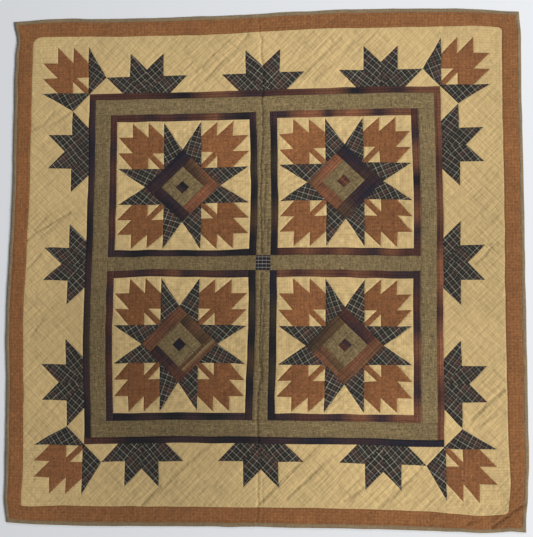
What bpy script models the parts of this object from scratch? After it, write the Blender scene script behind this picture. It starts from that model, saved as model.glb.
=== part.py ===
"""Patchwork star quilt laid out flat: star blocks, sashing, pieced borders and binding.

Metres, +Z up, +Y towards the quilt's head edge. The origin is the middle of the underside.
Every panel is one closed solid of the whole quilted thickness, flat underneath. Seams and
quilting lines are drawn down in its face, and the padding stands up between them.
"""

import math
from typing import NamedTuple

import bmesh
import bpy
from mathutils.geometry import delaunay_2d_cdt

# Widths from the edge inwards
HALF_SIDE = 0.6356
BINDING_WIDTH = 0.0100
RUST_WIDTH = 0.0369
CREAM_WIDTH = 0.1497
RING_WIDTH = 0.016
OLIVE_WIDTH = 0.039
FRAME_WIDTH = 0.0175
SASH_HALF_WIDTH = 0.018

# Seam lines, as distances from the middle of the quilt
RUST_EDGE = HALF_SIDE - BINDING_WIDTH
CREAM_EDGE = RUST_EDGE - RUST_WIDTH
RING_EDGE = CREAM_EDGE - CREAM_WIDTH
OLIVE_EDGE = RING_EDGE - RING_WIDTH
FRAME_EDGE = OLIVE_EDGE - OLIVE_WIDTH
BLOCK_SIDE = FRAME_EDGE - SASH_HALF_WIDTH - 2 * FRAME_WIDTH
BLOCK_CENTRE = (FRAME_EDGE + SASH_HALF_WIDTH) / 2

# Star block: leaf squares in the corners, a log-cabin square on point in the middle
LEAF_CELL = 0.0395
LEAF_SIDE = 3 * LEAF_CELL
STEM_SHARE = 0.25
STAR_INNER = BLOCK_SIDE / 2 - LEAF_SIDE
CABIN_HALF = math.sqrt(2) * STAR_INNER
CABIN_OLIVE_HALF = 0.039
CABIN_CENTRE_HALF = 0.0117

# Half stars on the ring: six rhombus spans share one side of it
STARS_PER_SIDE = 3
STAR_SPAN = RING_EDGE / STARS_PER_SIDE
RHOMBUS_SIDE = STAR_SPAN / (1 + math.sqrt(2))
RHOMBUS_STEP = RHOMBUS_SIDE * math.sqrt(0.5)
LEAF_STANDOFF = 0.0035

# Thickness of the quilted layers
SEAM_HEIGHT = 0.0034
QUILTED_HEIGHT = 0.0038
PUFF_HEIGHT = 0.0050
BINDING_HEIGHT = 0.0042
PUFF_SHOULDER = 0.0048
SEAM_ALLOWANCE_SHOULDER = 0.0036

QUILTING_PITCH = 0.019
QUILTING_CLEARANCE = 0.0045
GAP = 0.0003
HALF_GAP = GAP / 2
STATION_STEP = 0.050
STATION_MARGIN = 0.012
CORNER_STEPS = 3
MERGE_DISTANCE = 1e-6

# Padding that stands up along the strips: share of the strip's width, height
SASH_ARM_ROWS = ((0.25, PUFF_HEIGHT), (0.5, PUFF_HEIGHT), (0.75, PUFF_HEIGHT))
OLIVE_ROWS = ((0.18, PUFF_HEIGHT), (0.82, PUFF_HEIGHT))
RING_ROWS = ((0.5, PUFF_HEIGHT),)
RUST_ROWS = ((0.15, PUFF_HEIGHT), (0.5, QUILTED_HEIGHT), (0.85, PUFF_HEIGHT))
BINDING_ROWS = ((0.3, BINDING_HEIGHT), (0.7, BINDING_HEIGHT))

# Rounded inner corners of the rust border
CORNER_RADII = {"head_right": 0.010, "head_left": 0.022, "foot_left": 0.003, "foot_right": 0.012}
SIDES = ("head", "left", "foot", "right")
CORNERS = ("head_right", "head_left", "foot_left", "foot_right")


class Lean(NamedTuple):
    shift: float
    per_x: float
    per_y: float


class Push(NamedTuple):
    x: float
    y: float
    reach_x: float
    reach_y: float
    shift_x: float
    shift_y: float


class Fold(NamedTuple):
    x0: float
    y0: float
    x1: float
    y1: float
    reach: float
    lift: float


# How the cloth lies: the whole sheet leans a little, and parts of it are pushed or drawn in
LEAN_X = Lean(shift=0.00034, per_x=0.0019, per_y=-0.0008)
LEAN_Y = Lean(shift=-0.00216, per_x=0.0047, per_y=-0.0052)
LAY = {
    "head edge pushed up right of the crease": Push(0.24, 0.64, 0.20, 0.16, 0.0025, 0.009),
    "foot right border spread": Push(0.54, -0.56, 0.17, 0.13, -0.004, -0.0085),
    "left waist drawn in": Push(-0.64, -0.13, 0.17, 0.13, -0.0085, 0.0095),
    "foot left corner drawn in": Push(-0.64, -0.64, 0.07, 0.07, 0.0100, 0.005),
    "head right corner drawn in": Push(0.64, 0.64, 0.07, 0.07, -0.003, -0.009),
    "foot right corner drawn in": Push(0.64, -0.64, 0.07, 0.07, -0.0105, 0.0015),
    "blocks pushed up right of the middle": Push(0.13, 0.13, 0.26, 0.13, 0.004, 0.006),
    "right ring bulge": Push(0.43, 0.16, 0.08, 0.14, 0.002, -0.003),
    "crease leans left at the foot": Push(0.06, -0.40, 0.20, 0.09, -0.005, 0.002),
    "foot left ring corner drawn in": Push(-0.42, -0.44, 0.07, 0.09, 0.0045, -0.0025),
    "foot left block pushed up": Push(-0.20, -0.20, 0.14, 0.14, -0.003, 0.006),
    "head left block drawn down": Push(-0.20, 0.24, 0.20, 0.09, 0.0005, -0.0065),
    "right waist drawn in": Push(0.60, -0.15, 0.12, 0.20, -0.0045, 0.001),
    "right edge spread": Push(0.66, -0.02, 0.045, 0.26, 0.0035, 0.0),
    "left edge drawn in": Push(-0.66, -0.15, 0.045, 0.35, 0.0048, 0.0),
    "head left corner pushed up": Push(-0.53, 0.66, 0.06, 0.07, 0.0, 0.0048),
    "head right corner spread": Push(0.64, 0.55, 0.06, 0.08, 0.0030, 0.0),
    "foot left edge spread": Push(-0.45, -0.66, 0.18, 0.05, 0.0, -0.0020),
    "head left corner spread": Push(-0.64, 0.64, 0.05, 0.05, -0.0050, -0.001),
    "foot right cream spread to the right": Push(0.585, -0.52, 0.024, 0.05, 0.0052, 0.0),
    "foot right cream spread to the foot": Push(0.52, -0.585, 0.05, 0.030, 0.0, -0.0058),
    "head right cream spread to the head": Push(0.54, 0.585, 0.04, 0.030, 0.0, 0.0035),
    "head border full on the left": Push(-0.17, 0.575, 0.12, 0.030, 0.0, -0.0033),
    "head border full on the right": Push(0.28, 0.575, 0.08, 0.030, 0.0, -0.0033),
    "upper sash drawn in": Push(-0.030, 0.22, 0.022, 0.12, 0.0036, 0.0),
    "lower sash drawn in": Push(-0.025, -0.14, 0.020, 0.10, 0.0026, 0.0),
    "lower sash spread": Push(-0.040, -0.36, 0.030, 0.05, -0.0020, 0.0),
    "left sash drawn in": Push(-0.27, -0.024, 0.05, 0.022, 0.0, 0.0036),
    "left sash frame drawn in": Push(-0.13, 0.042, 0.05, 0.014, 0.0, -0.0035),
    "right sash pushed down": Push(0.31, -0.035, 0.06, 0.05, 0.0, -0.0034),
    "right sash pushed up": Push(0.12, 0.0, 0.05, 0.05, 0.0, 0.0016),
    "left edge notched below the head": Push(-0.645, 0.583, 0.028, 0.023, 0.0080, 0.0),
    "foot left corner spread": Push(-0.61, -0.58, 0.045, 0.030, -0.0072, 0.0),
    "foot left cream spread to the foot": Push(-0.58, -0.595, 0.035, 0.020, 0.0, -0.0050),
    "head right cream spread to the right": Push(0.61, 0.585, 0.04, 0.030, 0.0038, 0.0),
    "foot edge notched on the right": Push(0.598, -0.66, 0.016, 0.04, 0.0, 0.0034),
    "foot edge drawn in on the right": Push(0.449, -0.66, 0.035, 0.04, 0.0, 0.0024),
}

# Folds and wrinkles: soft troughs and ridges along straight lines
FOLDS = {
    "centre crease": Fold(0.000, 0.66, 0.000, -0.66, 0.010, -0.0012),
    "left of the centre crease": Fold(-0.024, 0.66, -0.024, -0.66, 0.014, 0.0005),
    "left border wrinkle": Fold(-0.595, 0.055, -0.490, 0.125, 0.008, 0.0010),
    "left border lower wrinkle": Fold(-0.585, -0.015, -0.545, 0.030, 0.008, 0.0008),
    "right border wrinkle": Fold(0.515, 0.020, 0.585, 0.060, 0.008, 0.0010),
    "foot right corner crease": Fold(0.560, -0.632, 0.620, -0.575, 0.007, -0.0009),
    "foot border, right of the crease": Fold(0.020, -0.578, 0.156, -0.472, 0.008, -0.0007),
    "foot border, towards the right": Fold(0.282, -0.583, 0.356, -0.493, 0.008, -0.0008),
    "foot border, left": Fold(-0.286, -0.581, -0.208, -0.486, 0.008, -0.0007),
    "head border, left": Fold(-0.146, 0.469, -0.037, 0.583, 0.008, -0.0007),
    "head border, right": Fold(0.093, 0.465, 0.192, 0.562, 0.008, -0.0007),
    "right border, low": Fold(0.502, -0.375, 0.580, -0.306, 0.008, -0.0009),
}

# Each block's log-cabin corner belongs to the log on one of its two sides
CABIN_CORNERS = {
    "head_left": {"top": "north_west", "left": "south_west", "bottom": "south_west", "right": "north_east"},
    "head_right": {"top": "north_east", "left": "south_west", "bottom": "south_east", "right": "south_east"},
    "foot_left": {"top": "north_west", "left": "north_west", "bottom": "south_west", "right": "south_east"},
    "foot_right": {"top": "north_east", "left": "north_west", "bottom": "south_west", "right": "south_east"},
}

COLOURS = {
    "pieced_star": (0.30, 0.16, 0.09),
    "dark_plaid": (0.035, 0.025, 0.035),
    "olive_homespun": (0.19, 0.14, 0.075),
    "cream_homespun": (0.55, 0.41, 0.20),
    "rust_plaid": (0.25, 0.10, 0.04),
}


def clear_scene():
    for obj in list(bpy.data.objects):
        bpy.data.objects.remove(obj, do_unlink=True)


def fabric_material(name):
    material = bpy.data.materials.new(name)
    material.use_nodes = True
    shader = material.node_tree.nodes["Principled BSDF"]
    shader.inputs["Base Color"].default_value = (*COLOURS[name], 1.0)
    shader.inputs["Roughness"].default_value = 0.92
    shader.inputs["Metallic"].default_value = 0.0
    material.diffuse_color = (*COLOURS[name], 1.0)
    return material


def lay(x, y):
    """Where a point of the drafted quilt comes to lie."""
    across = LEAN_X.shift + LEAN_X.per_x * x + LEAN_X.per_y * y
    along = LEAN_Y.shift + LEAN_Y.per_x * x + LEAN_Y.per_y * y
    for push in LAY.values():
        square = ((x - push.x) / push.reach_x) ** 2 + ((y - push.y) / push.reach_y) ** 2
        weight = math.exp(-square / 2)
        across += push.shift_x * weight
        along += push.shift_y * weight
    return x + across, y + along


def fold_lift(x, y):
    """How far the folds raise or lower the face at a drafted point."""
    total = 0.0
    for fold in FOLDS.values():
        run_x = fold.x1 - fold.x0
        run_y = fold.y1 - fold.y0
        share = ((x - fold.x0) * run_x + (y - fold.y0) * run_y) / (run_x**2 + run_y**2)
        share = min(1.0, max(0.0, share))
        distance = math.hypot(x - fold.x0 - share * run_x, y - fold.y0 - share * run_y)
        total += fold.lift * math.exp(-((distance / fold.reach) ** 2) / 2)
    return total


def turned(points, quarters):
    """Points turned about the origin, a quarter turn anticlockwise at a time."""
    for _ in range(quarters % 4):
        points = [(-y, x) for x, y in points]
    return points


def shifted(points, x, y):
    return [(px + x, py + y) for px, py in points]


def stations(start, end):
    """Points along an axis-aligned edge at the shared stations, without its end point."""
    along_x = abs(end[0] - start[0]) > abs(end[1] - start[1])
    axis = 0 if along_x else 1
    if abs(end[1 - axis] - start[1 - axis]) > 1e-7:
        return [start]
    low, high = sorted((start[axis], end[axis]))
    first = math.ceil((low + STATION_MARGIN) / STATION_STEP)
    last = math.floor((high - STATION_MARGIN) / STATION_STEP)
    values = [k * STATION_STEP for k in range(first, last + 1)]
    if start[axis] > end[axis]:
        values.reverse()
    if along_x:
        return [start] + [(value, start[1]) for value in values]
    return [start] + [(start[0], value) for value in values]


def sampled(corners):
    """An outline with the shared stations added on its straight sides."""
    outline = []
    for start, end in zip(corners, corners[1:] + corners[:1]):
        outline += stations(start, end)
    return outline


def rectangle(x0, y0, x1, y1):
    return [(x0, y0), (x1, y0), (x1, y1), (x0, y1)]


def inset(polygon, distance):
    """A convex anticlockwise polygon with each side moved inwards."""
    sides = []
    for (x0, y0), (x1, y1) in zip(polygon, polygon[1:] + polygon[:1]):
        length = math.hypot(x1 - x0, y1 - y0)
        normal = (-(y1 - y0) / length, (x1 - x0) / length)
        sides.append((normal, normal[0] * x0 + normal[1] * y0 + distance))
    result = []
    for (n0, d0), (n1, d1) in zip(sides[-1:] + sides[:-1], sides):
        cross = n0[0] * n1[1] - n0[1] * n1[0]
        result.append(((d0 * n1[1] - d1 * n0[1]) / cross, (n0[0] * d1 - n1[0] * d0) / cross))
    return result


def area_of(polygon):
    pairs = zip(polygon, polygon[1:] + polygon[:1])
    return sum(x0 * y1 - x1 * y0 for (x0, y0), (x1, y1) in pairs) / 2


def anticlockwise(polygon):
    return polygon if area_of(polygon) > 0 else polygon[::-1]


def inner_radius(polygon):
    pairs = zip(polygon, polygon[1:] + polygon[:1])
    around = sum(math.hypot(x1 - x0, y1 - y0) for (x0, y0), (x1, y1) in pairs)
    return 2 * area_of(polygon) / around


def distance_to(point, polygon):
    """Distance from a point to a polygon's sides, negative inside it."""
    x, y = point
    nearest = math.inf
    within = False
    for (x0, y0), (x1, y1) in zip(polygon, polygon[1:] + polygon[:1]):
        run_x = x1 - x0
        run_y = y1 - y0
        share = ((x - x0) * run_x + (y - y0) * run_y) / (run_x**2 + run_y**2)
        share = min(1.0, max(0.0, share))
        nearest = min(nearest, math.hypot(x - x0 - share * run_x, y - y0 - share * run_y))
        if (y0 > y) != (y1 > y) and x < x0 + (y - y0) * run_x / run_y:
            within = not within
    return -nearest if within else nearest


class Face:
    """The upper face of one panel: its outline, and what is raised or drawn down in it."""

    def __init__(self, outline):
        self.points = []
        self.heights = []
        self.edges = []
        self.outline = outline
        self.loop(outline, SEAM_HEIGHT)

    def point(self, position, height):
        self.points.append(position)
        self.heights.append(height)
        return len(self.points) - 1

    def loop(self, polygon, height):
        indices = [self.point(position, height) for position in polygon]
        self.edges += list(zip(indices, indices[1:] + indices[:1]))

    def line(self, positions, height):
        indices = [self.point(position, height) for position in positions]
        self.edges += list(zip(indices, indices[1:]))

    def puff(self, polygon, height=PUFF_HEIGHT, shoulder=PUFF_SHOULDER):
        """Padding that stands up inside a patch."""
        reach = min(shoulder, 0.5 * inner_radius(polygon))
        self.loop(inset(polygon, reach), height)

    def patch(self, polygon):
        """A sewn patch: its seams, kept inside the panel, and the padding between them."""
        polygon = anticlockwise(polygon)
        self.loop([self.clamped(position) for position in polygon], SEAM_HEIGHT)
        self.puff(polygon)

    def clamped(self, position):
        low_x = min(x for x, _ in self.outline)
        high_x = max(x for x, _ in self.outline)
        low_y = min(y for _, y in self.outline)
        high_y = max(y for _, y in self.outline)
        return min(high_x, max(low_x, position[0])), min(high_y, max(low_y, position[1]))

    def cross_hatch(self, motifs):
        """Quilting lines on the diagonals both ways, clear of the motifs, with raised diamonds."""
        step = QUILTING_PITCH * math.sqrt(0.5)
        kept = {}
        low_i = math.floor(min(x for x, _ in self.outline) / step)
        high_i = math.ceil(max(x for x, _ in self.outline) / step)
        low_j = math.floor(min(y for _, y in self.outline) / step)
        high_j = math.ceil(max(y for _, y in self.outline) / step)
        for i in range(low_i, high_i + 1):
            for j in range(low_j, high_j + 1):
                position = (i * step, j * step)
                if distance_to(position, self.outline) > -QUILTING_CLEARANCE:
                    continue
                if any(distance_to(position, motif) < QUILTING_CLEARANCE for motif in motifs):
                    continue
                crossing = (i + j) % 2 == 0
                kept[i, j] = self.point(position, QUILTED_HEIGHT if crossing else PUFF_HEIGHT)
        for (i, j), index in kept.items():
            if (i + j) % 2:
                continue
            for neighbour in ((i + 1, j + 1), (i + 1, j - 1)):
                if neighbour in kept:
                    self.edges.append((index, kept[neighbour]))


def solid_from(name, face, material):
    """A closed panel: the face laid out, straight sides and a flat underside."""
    flat, _, triangles, sources, _, _ = delaunay_2d_cdt(
        face.points, face.edges, [], 0, MERGE_DISTANCE, True
    )
    mesh = bpy.data.meshes.new(name)
    build = bmesh.new()
    upper = []
    for (x, y), source in zip(flat, sources):
        height = face.heights[source[0]] if source else SEAM_HEIGHT
        height += fold_lift(x, y)
        upper.append(build.verts.new((*lay(x, y), height)))
    for triangle in triangles:
        middle = [sum(flat[index][axis] for index in triangle) / 3 for axis in (0, 1)]
        if distance_to(middle, face.outline) < 0:
            build.faces.new([upper[index] for index in triangle])
    loose = [vert for vert in build.verts if not vert.link_faces]
    bmesh.ops.delete(build, geom=loose, context="VERTS")
    rim = [edge for edge in build.edges if edge.is_boundary]
    walls = bmesh.ops.extrude_edge_only(build, edges=rim)["geom"]
    lower_edges = [item for item in walls if isinstance(item, bmesh.types.BMEdge)]
    for item in walls:
        if isinstance(item, bmesh.types.BMVert):
            item.co.z = 0.0
    lower_rim = [edge for edge in lower_edges if edge.is_boundary]
    bmesh.ops.edgeloop_fill(build, edges=lower_rim)
    bmesh.ops.recalc_face_normals(build, faces=build.faces)
    build.to_mesh(mesh)
    build.free()
    mesh.materials.append(material)
    panel = bpy.data.objects.new(name, mesh)
    bpy.context.scene.collection.objects.link(panel)
    return panel


def ridge(face, y, half_length, height, quarters):
    """A line of raised padding along a strip drafted at the head side, then turned into place."""
    row = stations((-half_length, y), (half_length, y)) + [(half_length, y)]
    face.line(turned(row, quarters), height)


def corner_arc(x, y, radius, start, end):
    """Points on an arc about (x, y), angles in degrees, both ends included."""
    result = []
    for step in range(CORNER_STEPS + 1):
        angle = math.radians(start + (end - start) * step / CORNER_STEPS)
        result.append((x + radius * math.cos(angle), y + radius * math.sin(angle)))
    return result


def mitred_strip(side, inner, outer, radii=None):
    """Outline of a border strip with mitred ends; its inner corners may be rounded."""
    top = outer - (HALF_GAP if outer < HALF_SIDE else 0.0)
    bottom = inner + HALF_GAP
    mitre = HALF_GAP * math.sqrt(2)
    upper = [(top - mitre, top), (-top + mitre, top)]
    if radii is None:
        lower = [(-bottom + mitre, bottom), (bottom - mitre, bottom)]
    else:
        right = radii[CORNERS[side]]
        left = radii[CORNERS[(side + 1) % 4]]
        lower = corner_arc(-inner + left, inner - left, left + HALF_GAP, 135, 90)
        lower[0] = (lower[0][0] + mitre / 2, lower[0][1] + mitre / 2)
        ending = corner_arc(inner - right, inner - right, right + HALF_GAP, 90, 45)
        ending[-1] = (ending[-1][0] - mitre / 2, ending[-1][1] + mitre / 2)
        lower += ending
    return turned(sampled(upper + lower), side)


def make_mitred_border(name, inner, outer, rows, material, radii=None):
    """Four strips with mitred ends, named by the side they lie on."""
    for side, side_name in enumerate(SIDES):
        face = Face(mitred_strip(side, inner, outer, radii))
        for share, height in rows:
            y = inner + share * (outer - inner)
            ridge(face, y, y - SEAM_ALLOWANCE_SHOULDER, height, side)
        solid_from(f"{name}_{side_name}", face, material)


def make_butted_ring(name, inner, outer, rows, material):
    """Four strips: the head and foot strips run past the ends of the side strips."""
    for side, side_name in enumerate(SIDES):
        reach = outer - HALF_GAP if side % 2 == 0 else inner - HALF_GAP
        corners = rectangle(-reach, inner + HALF_GAP, reach, outer - HALF_GAP)
        face = Face(turned(sampled(corners), side))
        for share, height in rows:
            y = inner + share * (outer - inner)
            ridge(face, y, reach - SEAM_ALLOWANCE_SHOULDER, height, side)
        solid_from(f"{name}_{side_name}", face, material)


def leaf_patches(cell):
    """Patches of a maple leaf square, its stem at the origin, growing towards +X and +Y."""
    width = STEM_SHARE
    units = []
    for i, j in ((0, 1), (1, 0), (1, 1), (2, 2)):
        units.append(rectangle(i, j, i + 1, j + 1))
    for i in (0, 1):
        units.append([(i + 1, 3), (i, 2), (i + 1, 2)])
        units.append([(i, 2), (i + 1, 3), (i, 3)])
        units.append([(3, i + 1), (2, i + 1), (2, i)])
        units.append([(2, i), (3, i), (3, i + 1)])
    units.append([(0, 0), (width, 0), (1, 1 - width), (1, 1), (1 - width, 1), (0, width)])
    units.append([(width, 0), (1, 0), (1, 1 - width)])
    units.append([(0, width), (1 - width, 1), (0, 1)])
    return [[(x * cell, y * cell) for x, y in unit] for unit in units]


def on_point(u0, v0, u1, v1):
    """A rectangle whose sides run on the diagonals: u to the north-east, v to the north-west."""
    half = math.sqrt(0.5)
    return [((u - v) * half, (u + v) * half) for u, v in rectangle(u0, v0, u1, v1)]


def cabin_patches(owners):
    """Log-cabin square on point: centre, olive logs and outer logs."""
    core = CABIN_CENTRE_HALF
    olive = CABIN_OLIVE_HALF
    edge = CABIN_HALF
    logs = [on_point(-core, -core, core, core)]
    logs.append(on_point(core, -olive, olive, core))
    logs.append(on_point(-core, core, olive, olive))
    logs.append(on_point(-olive, -core, -core, olive))
    logs.append(on_point(-olive, -olive, core, -core))
    reach = {}
    for side, first, second in (
        ("north_east", "right", "top"),
        ("north_west", "left", "top"),
        ("south_west", "bottom", "left"),
        ("south_east", "bottom", "right"),
    ):
        start = -edge if owners[first] == side else -olive
        end = edge if owners[second] == side else olive
        reach[side] = (start, end)
    start, end = reach["north_east"]
    logs.append(on_point(olive, start, edge, end))
    start, end = reach["south_west"]
    logs.append(on_point(-edge, start, -olive, end))
    start, end = reach["north_west"]
    logs.append(on_point(start, olive, end, edge))
    start, end = reach["south_east"]
    logs.append(on_point(start, -edge, end, -olive))
    return logs


def star_patches(owners):
    """Patches of one star block about its centre."""
    half = BLOCK_SIDE / 2
    inner = STAR_INNER
    patches = cabin_patches(owners)
    for quarter in range(4):
        for leaf in leaf_patches(LEAF_CELL):
            patches.append(turned(shifted(leaf, inner, inner), quarter))
        patches.append(turned([(inner, half), (inner, inner), (0, 2 * inner)], quarter))
        patches.append(turned([(-inner, half), (-inner, inner), (0, 2 * inner)], quarter))
        patches.append(turned([(-inner, half), (inner, half), (0, 2 * inner)], quarter))
    return patches


def make_star_blocks(material):
    """Each block with the narrow dark strips sewn round it."""
    outer = BLOCK_SIDE / 2 + FRAME_WIDTH
    inner = BLOCK_SIDE / 2
    places = (("head_left", -1, 1), ("head_right", 1, 1), ("foot_left", -1, -1), ("foot_right", 1, -1))
    for corner, sign_x, sign_y in places:
        x = sign_x * BLOCK_CENTRE
        y = sign_y * BLOCK_CENTRE
        reach = outer - HALF_GAP
        face = Face(sampled(rectangle(x - reach, y - reach, x + reach, y + reach)))
        for patch in star_patches(CABIN_CORNERS[corner]):
            face.patch(shifted(patch, x, y))
        for side in range(4):
            end = outer if side % 2 == 0 else inner
            strip = turned(rectangle(-end, inner, end, outer), side)
            face.puff(shifted(strip, x, y), shoulder=SEAM_ALLOWANCE_SHOULDER)
            if side % 2 == 0:
                seam = turned([(-end + HALF_GAP, inner), (end - HALF_GAP, inner)], side)
                face.line(shifted(seam, x, y), SEAM_HEIGHT)
        solid_from(f"star_block_{corner}", face, material)


def make_sashing(material, plaid):
    """The cross between the blocks, creased down the middle, and its cornerstone."""
    width = SASH_HALF_WIDTH
    for side, side_name in enumerate(SIDES):
        corners = rectangle(
            -width + HALF_GAP, width + HALF_GAP, width - HALF_GAP, FRAME_EDGE - HALF_GAP
        )
        face = Face(turned(sampled(corners), side))
        for share, height in SASH_ARM_ROWS:
            x = -width + share * 2 * width
            ends = ((x, width + SEAM_ALLOWANCE_SHOULDER), (x, FRAME_EDGE - SEAM_ALLOWANCE_SHOULDER))
            row = stations(*ends) + [ends[1]]
            face.line(turned(row, side), height)
        solid_from(f"sash_arm_{side_name}", face, material)
    reach = width - HALF_GAP
    stone = rectangle(-reach, -reach, reach, reach)
    face = Face(stone)
    face.puff(stone)
    face.point((0.0, 0.0), PUFF_HEIGHT)
    solid_from("cornerstone", face, plaid)


def half_star(x, y):
    """Rhombus patches of a half star that stands on a line at (x, y), points towards +Y."""
    step = RHOMBUS_STEP
    side = RHOMBUS_SIDE
    right_tip = [(0, 0), (side, 0), (side + step, step), (step, step)]
    right_point = [(0, 0), (step, step), (step, step + side), (0, side)]
    patches = [right_tip, right_point]
    patches += [[(-px, py) for px, py in patch] for patch in (right_tip, right_point)]
    return [shifted(patch, x, y) for patch in patches]


def half_star_outline(x, y):
    step = RHOMBUS_STEP
    side = RHOMBUS_SIDE
    right = [(side, 0), (side + step, step), (step, step), (step, step + side), (0, side)]
    left = [(-px, py) for px, py in right[:-1]][::-1]
    return shifted(right + left, x, y)


def corner_spikes():
    """The two dark triangles beside the head right leaf, upper one first."""
    start = RING_EDGE
    step = RHOMBUS_STEP
    tip = start + LEAF_STANDOFF + LEAF_SIDE
    upper = [(start, start), (start, tip), (start - step, start + step)]
    lower = [(y, x) for x, y in upper]
    return upper, lower


def make_cream_border(material):
    """Head and foot panels run the whole width and hold the leaves; side panels fit between."""
    leaf_start = RING_EDGE + LEAF_STANDOFF
    leaf_square = rectangle(leaf_start, leaf_start, leaf_start + LEAF_SIDE, leaf_start + LEAF_SIDE)
    upper_spike, lower_spike = corner_spikes()
    outer = CREAM_EDGE - HALF_GAP
    inner = RING_EDGE + HALF_GAP
    for side, side_name in enumerate(SIDES):
        stars = [
            (2 * k * STAR_SPAN, RING_EDGE) for k in range(-(STARS_PER_SIDE // 2), STARS_PER_SIDE // 2 + 1)
        ]
        motifs = [half_star_outline(*star) for star in stars]
        patches = [patch for star in stars for patch in half_star(*star)]
        if side % 2 == 0:
            right = CORNER_RADII[CORNERS[side]]
            left = CORNER_RADII[CORNERS[(side + 1) % 4]]
            corners = [(-outer, inner), (outer, inner)]
            centre = CREAM_EDGE - right
            corners += corner_arc(centre, centre, right - HALF_GAP, 0, 90)
            centre = CREAM_EDGE - left
            corners += corner_arc(-centre, centre, left - HALF_GAP, 90, 180)
            for sign in (1, -1):
                leaves = [shifted(leaf, leaf_start, leaf_start) for leaf in leaf_patches(LEAF_CELL)]
                placed = leaves + [upper_spike]
                patches += [[(sign * x, y) for x, y in patch] for patch in placed]
                motifs += [[(sign * x, y) for x, y in shape] for shape in (leaf_square, upper_spike)]
        else:
            reach = RING_EDGE - HALF_GAP
            corners = rectangle(-reach, inner, reach, outer)
            for sign in (1, -1):
                spike = [(sign * y, x) for x, y in lower_spike]
                patches.append(spike)
                motifs.append(spike)
        face = Face(turned(sampled(corners), side))
        for patch in patches:
            face.patch(turned(patch, side))
        face.cross_hatch([turned(motif, side) for motif in motifs])
        solid_from(f"cream_border_{side_name}", face, material)


def make_quilt():
    clear_scene()
    materials = {name: fabric_material(name) for name in COLOURS}
    make_star_blocks(materials["pieced_star"])
    make_sashing(materials["olive_homespun"], materials["dark_plaid"])
    olive = materials["olive_homespun"]
    rust = materials["rust_plaid"]
    make_butted_ring("olive_sash", FRAME_EDGE, OLIVE_EDGE, OLIVE_ROWS, olive)
    make_butted_ring("dark_ring", OLIVE_EDGE, RING_EDGE, RING_ROWS, materials["dark_plaid"])
    make_cream_border(materials["cream_homespun"])
    make_mitred_border("rust_border", CREAM_EDGE, RUST_EDGE, RUST_ROWS, rust, CORNER_RADII)
    make_mitred_border("binding", RUST_EDGE, HALF_SIDE, BINDING_ROWS, olive)


make_quilt()
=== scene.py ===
"""Looks of the patchwork star quilt: each patch in relief, its woven cloth, binding and backing.

Drafted coordinates are the quilt's own pattern, in metres from its middle with +Y to the head
edge. lay() says where a drafted point comes to lie. Heights are above the floor.
"""

import math
from typing import NamedTuple

import bpy
import numpy as np
from mathutils.geometry import delaunay_2d_cdt
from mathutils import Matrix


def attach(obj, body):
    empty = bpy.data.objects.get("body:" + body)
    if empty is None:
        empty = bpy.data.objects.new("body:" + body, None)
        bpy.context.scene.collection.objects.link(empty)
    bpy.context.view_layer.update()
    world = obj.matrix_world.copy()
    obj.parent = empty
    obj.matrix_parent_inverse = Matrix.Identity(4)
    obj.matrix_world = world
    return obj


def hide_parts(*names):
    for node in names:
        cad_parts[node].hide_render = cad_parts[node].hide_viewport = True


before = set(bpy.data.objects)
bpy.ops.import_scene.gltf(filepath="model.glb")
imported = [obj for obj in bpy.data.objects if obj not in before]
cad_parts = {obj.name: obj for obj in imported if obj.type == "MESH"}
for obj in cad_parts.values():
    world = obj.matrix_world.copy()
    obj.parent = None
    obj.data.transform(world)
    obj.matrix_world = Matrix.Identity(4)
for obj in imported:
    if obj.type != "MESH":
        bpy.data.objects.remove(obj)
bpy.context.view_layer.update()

# Widths from the edge inwards
HALF_SIDE = 0.6356
BINDING_WIDTH = 0.0100
RUST_WIDTH = 0.0369
CREAM_WIDTH = 0.1497
RING_WIDTH = 0.016
OLIVE_WIDTH = 0.039
FRAME_WIDTH = 0.0175
SASH_HALF_WIDTH = 0.018

# Seam lines, as distances from the middle of the quilt
RUST_EDGE = HALF_SIDE - BINDING_WIDTH
CREAM_EDGE = RUST_EDGE - RUST_WIDTH
RING_EDGE = CREAM_EDGE - CREAM_WIDTH
OLIVE_EDGE = RING_EDGE - RING_WIDTH
FRAME_EDGE = OLIVE_EDGE - OLIVE_WIDTH
BLOCK_HALF = (FRAME_EDGE - SASH_HALF_WIDTH) / 2 - FRAME_WIDTH
BLOCK_CENTRE = (FRAME_EDGE + SASH_HALF_WIDTH) / 2

# Star block
LEAF_CELL = 0.0395
LEAF_SIDE = 3 * LEAF_CELL
STEM_SHARE = 0.25
TIP_SHORTFALL = 0.0035
STAR_INNER = BLOCK_HALF - LEAF_SIDE
CABIN_HALF = math.sqrt(2) * STAR_INNER
CABIN_CENTRE_HALF = 0.0117

# Half stars on the ring
STAR_SPAN = RING_EDGE / 3
RHOMBUS_SIDE = STAR_SPAN / (1 + math.sqrt(2))
RHOMBUS_STEP = RHOMBUS_SIDE * math.sqrt(0.5)
LEAF_STANDOFF = 0.0035

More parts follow.
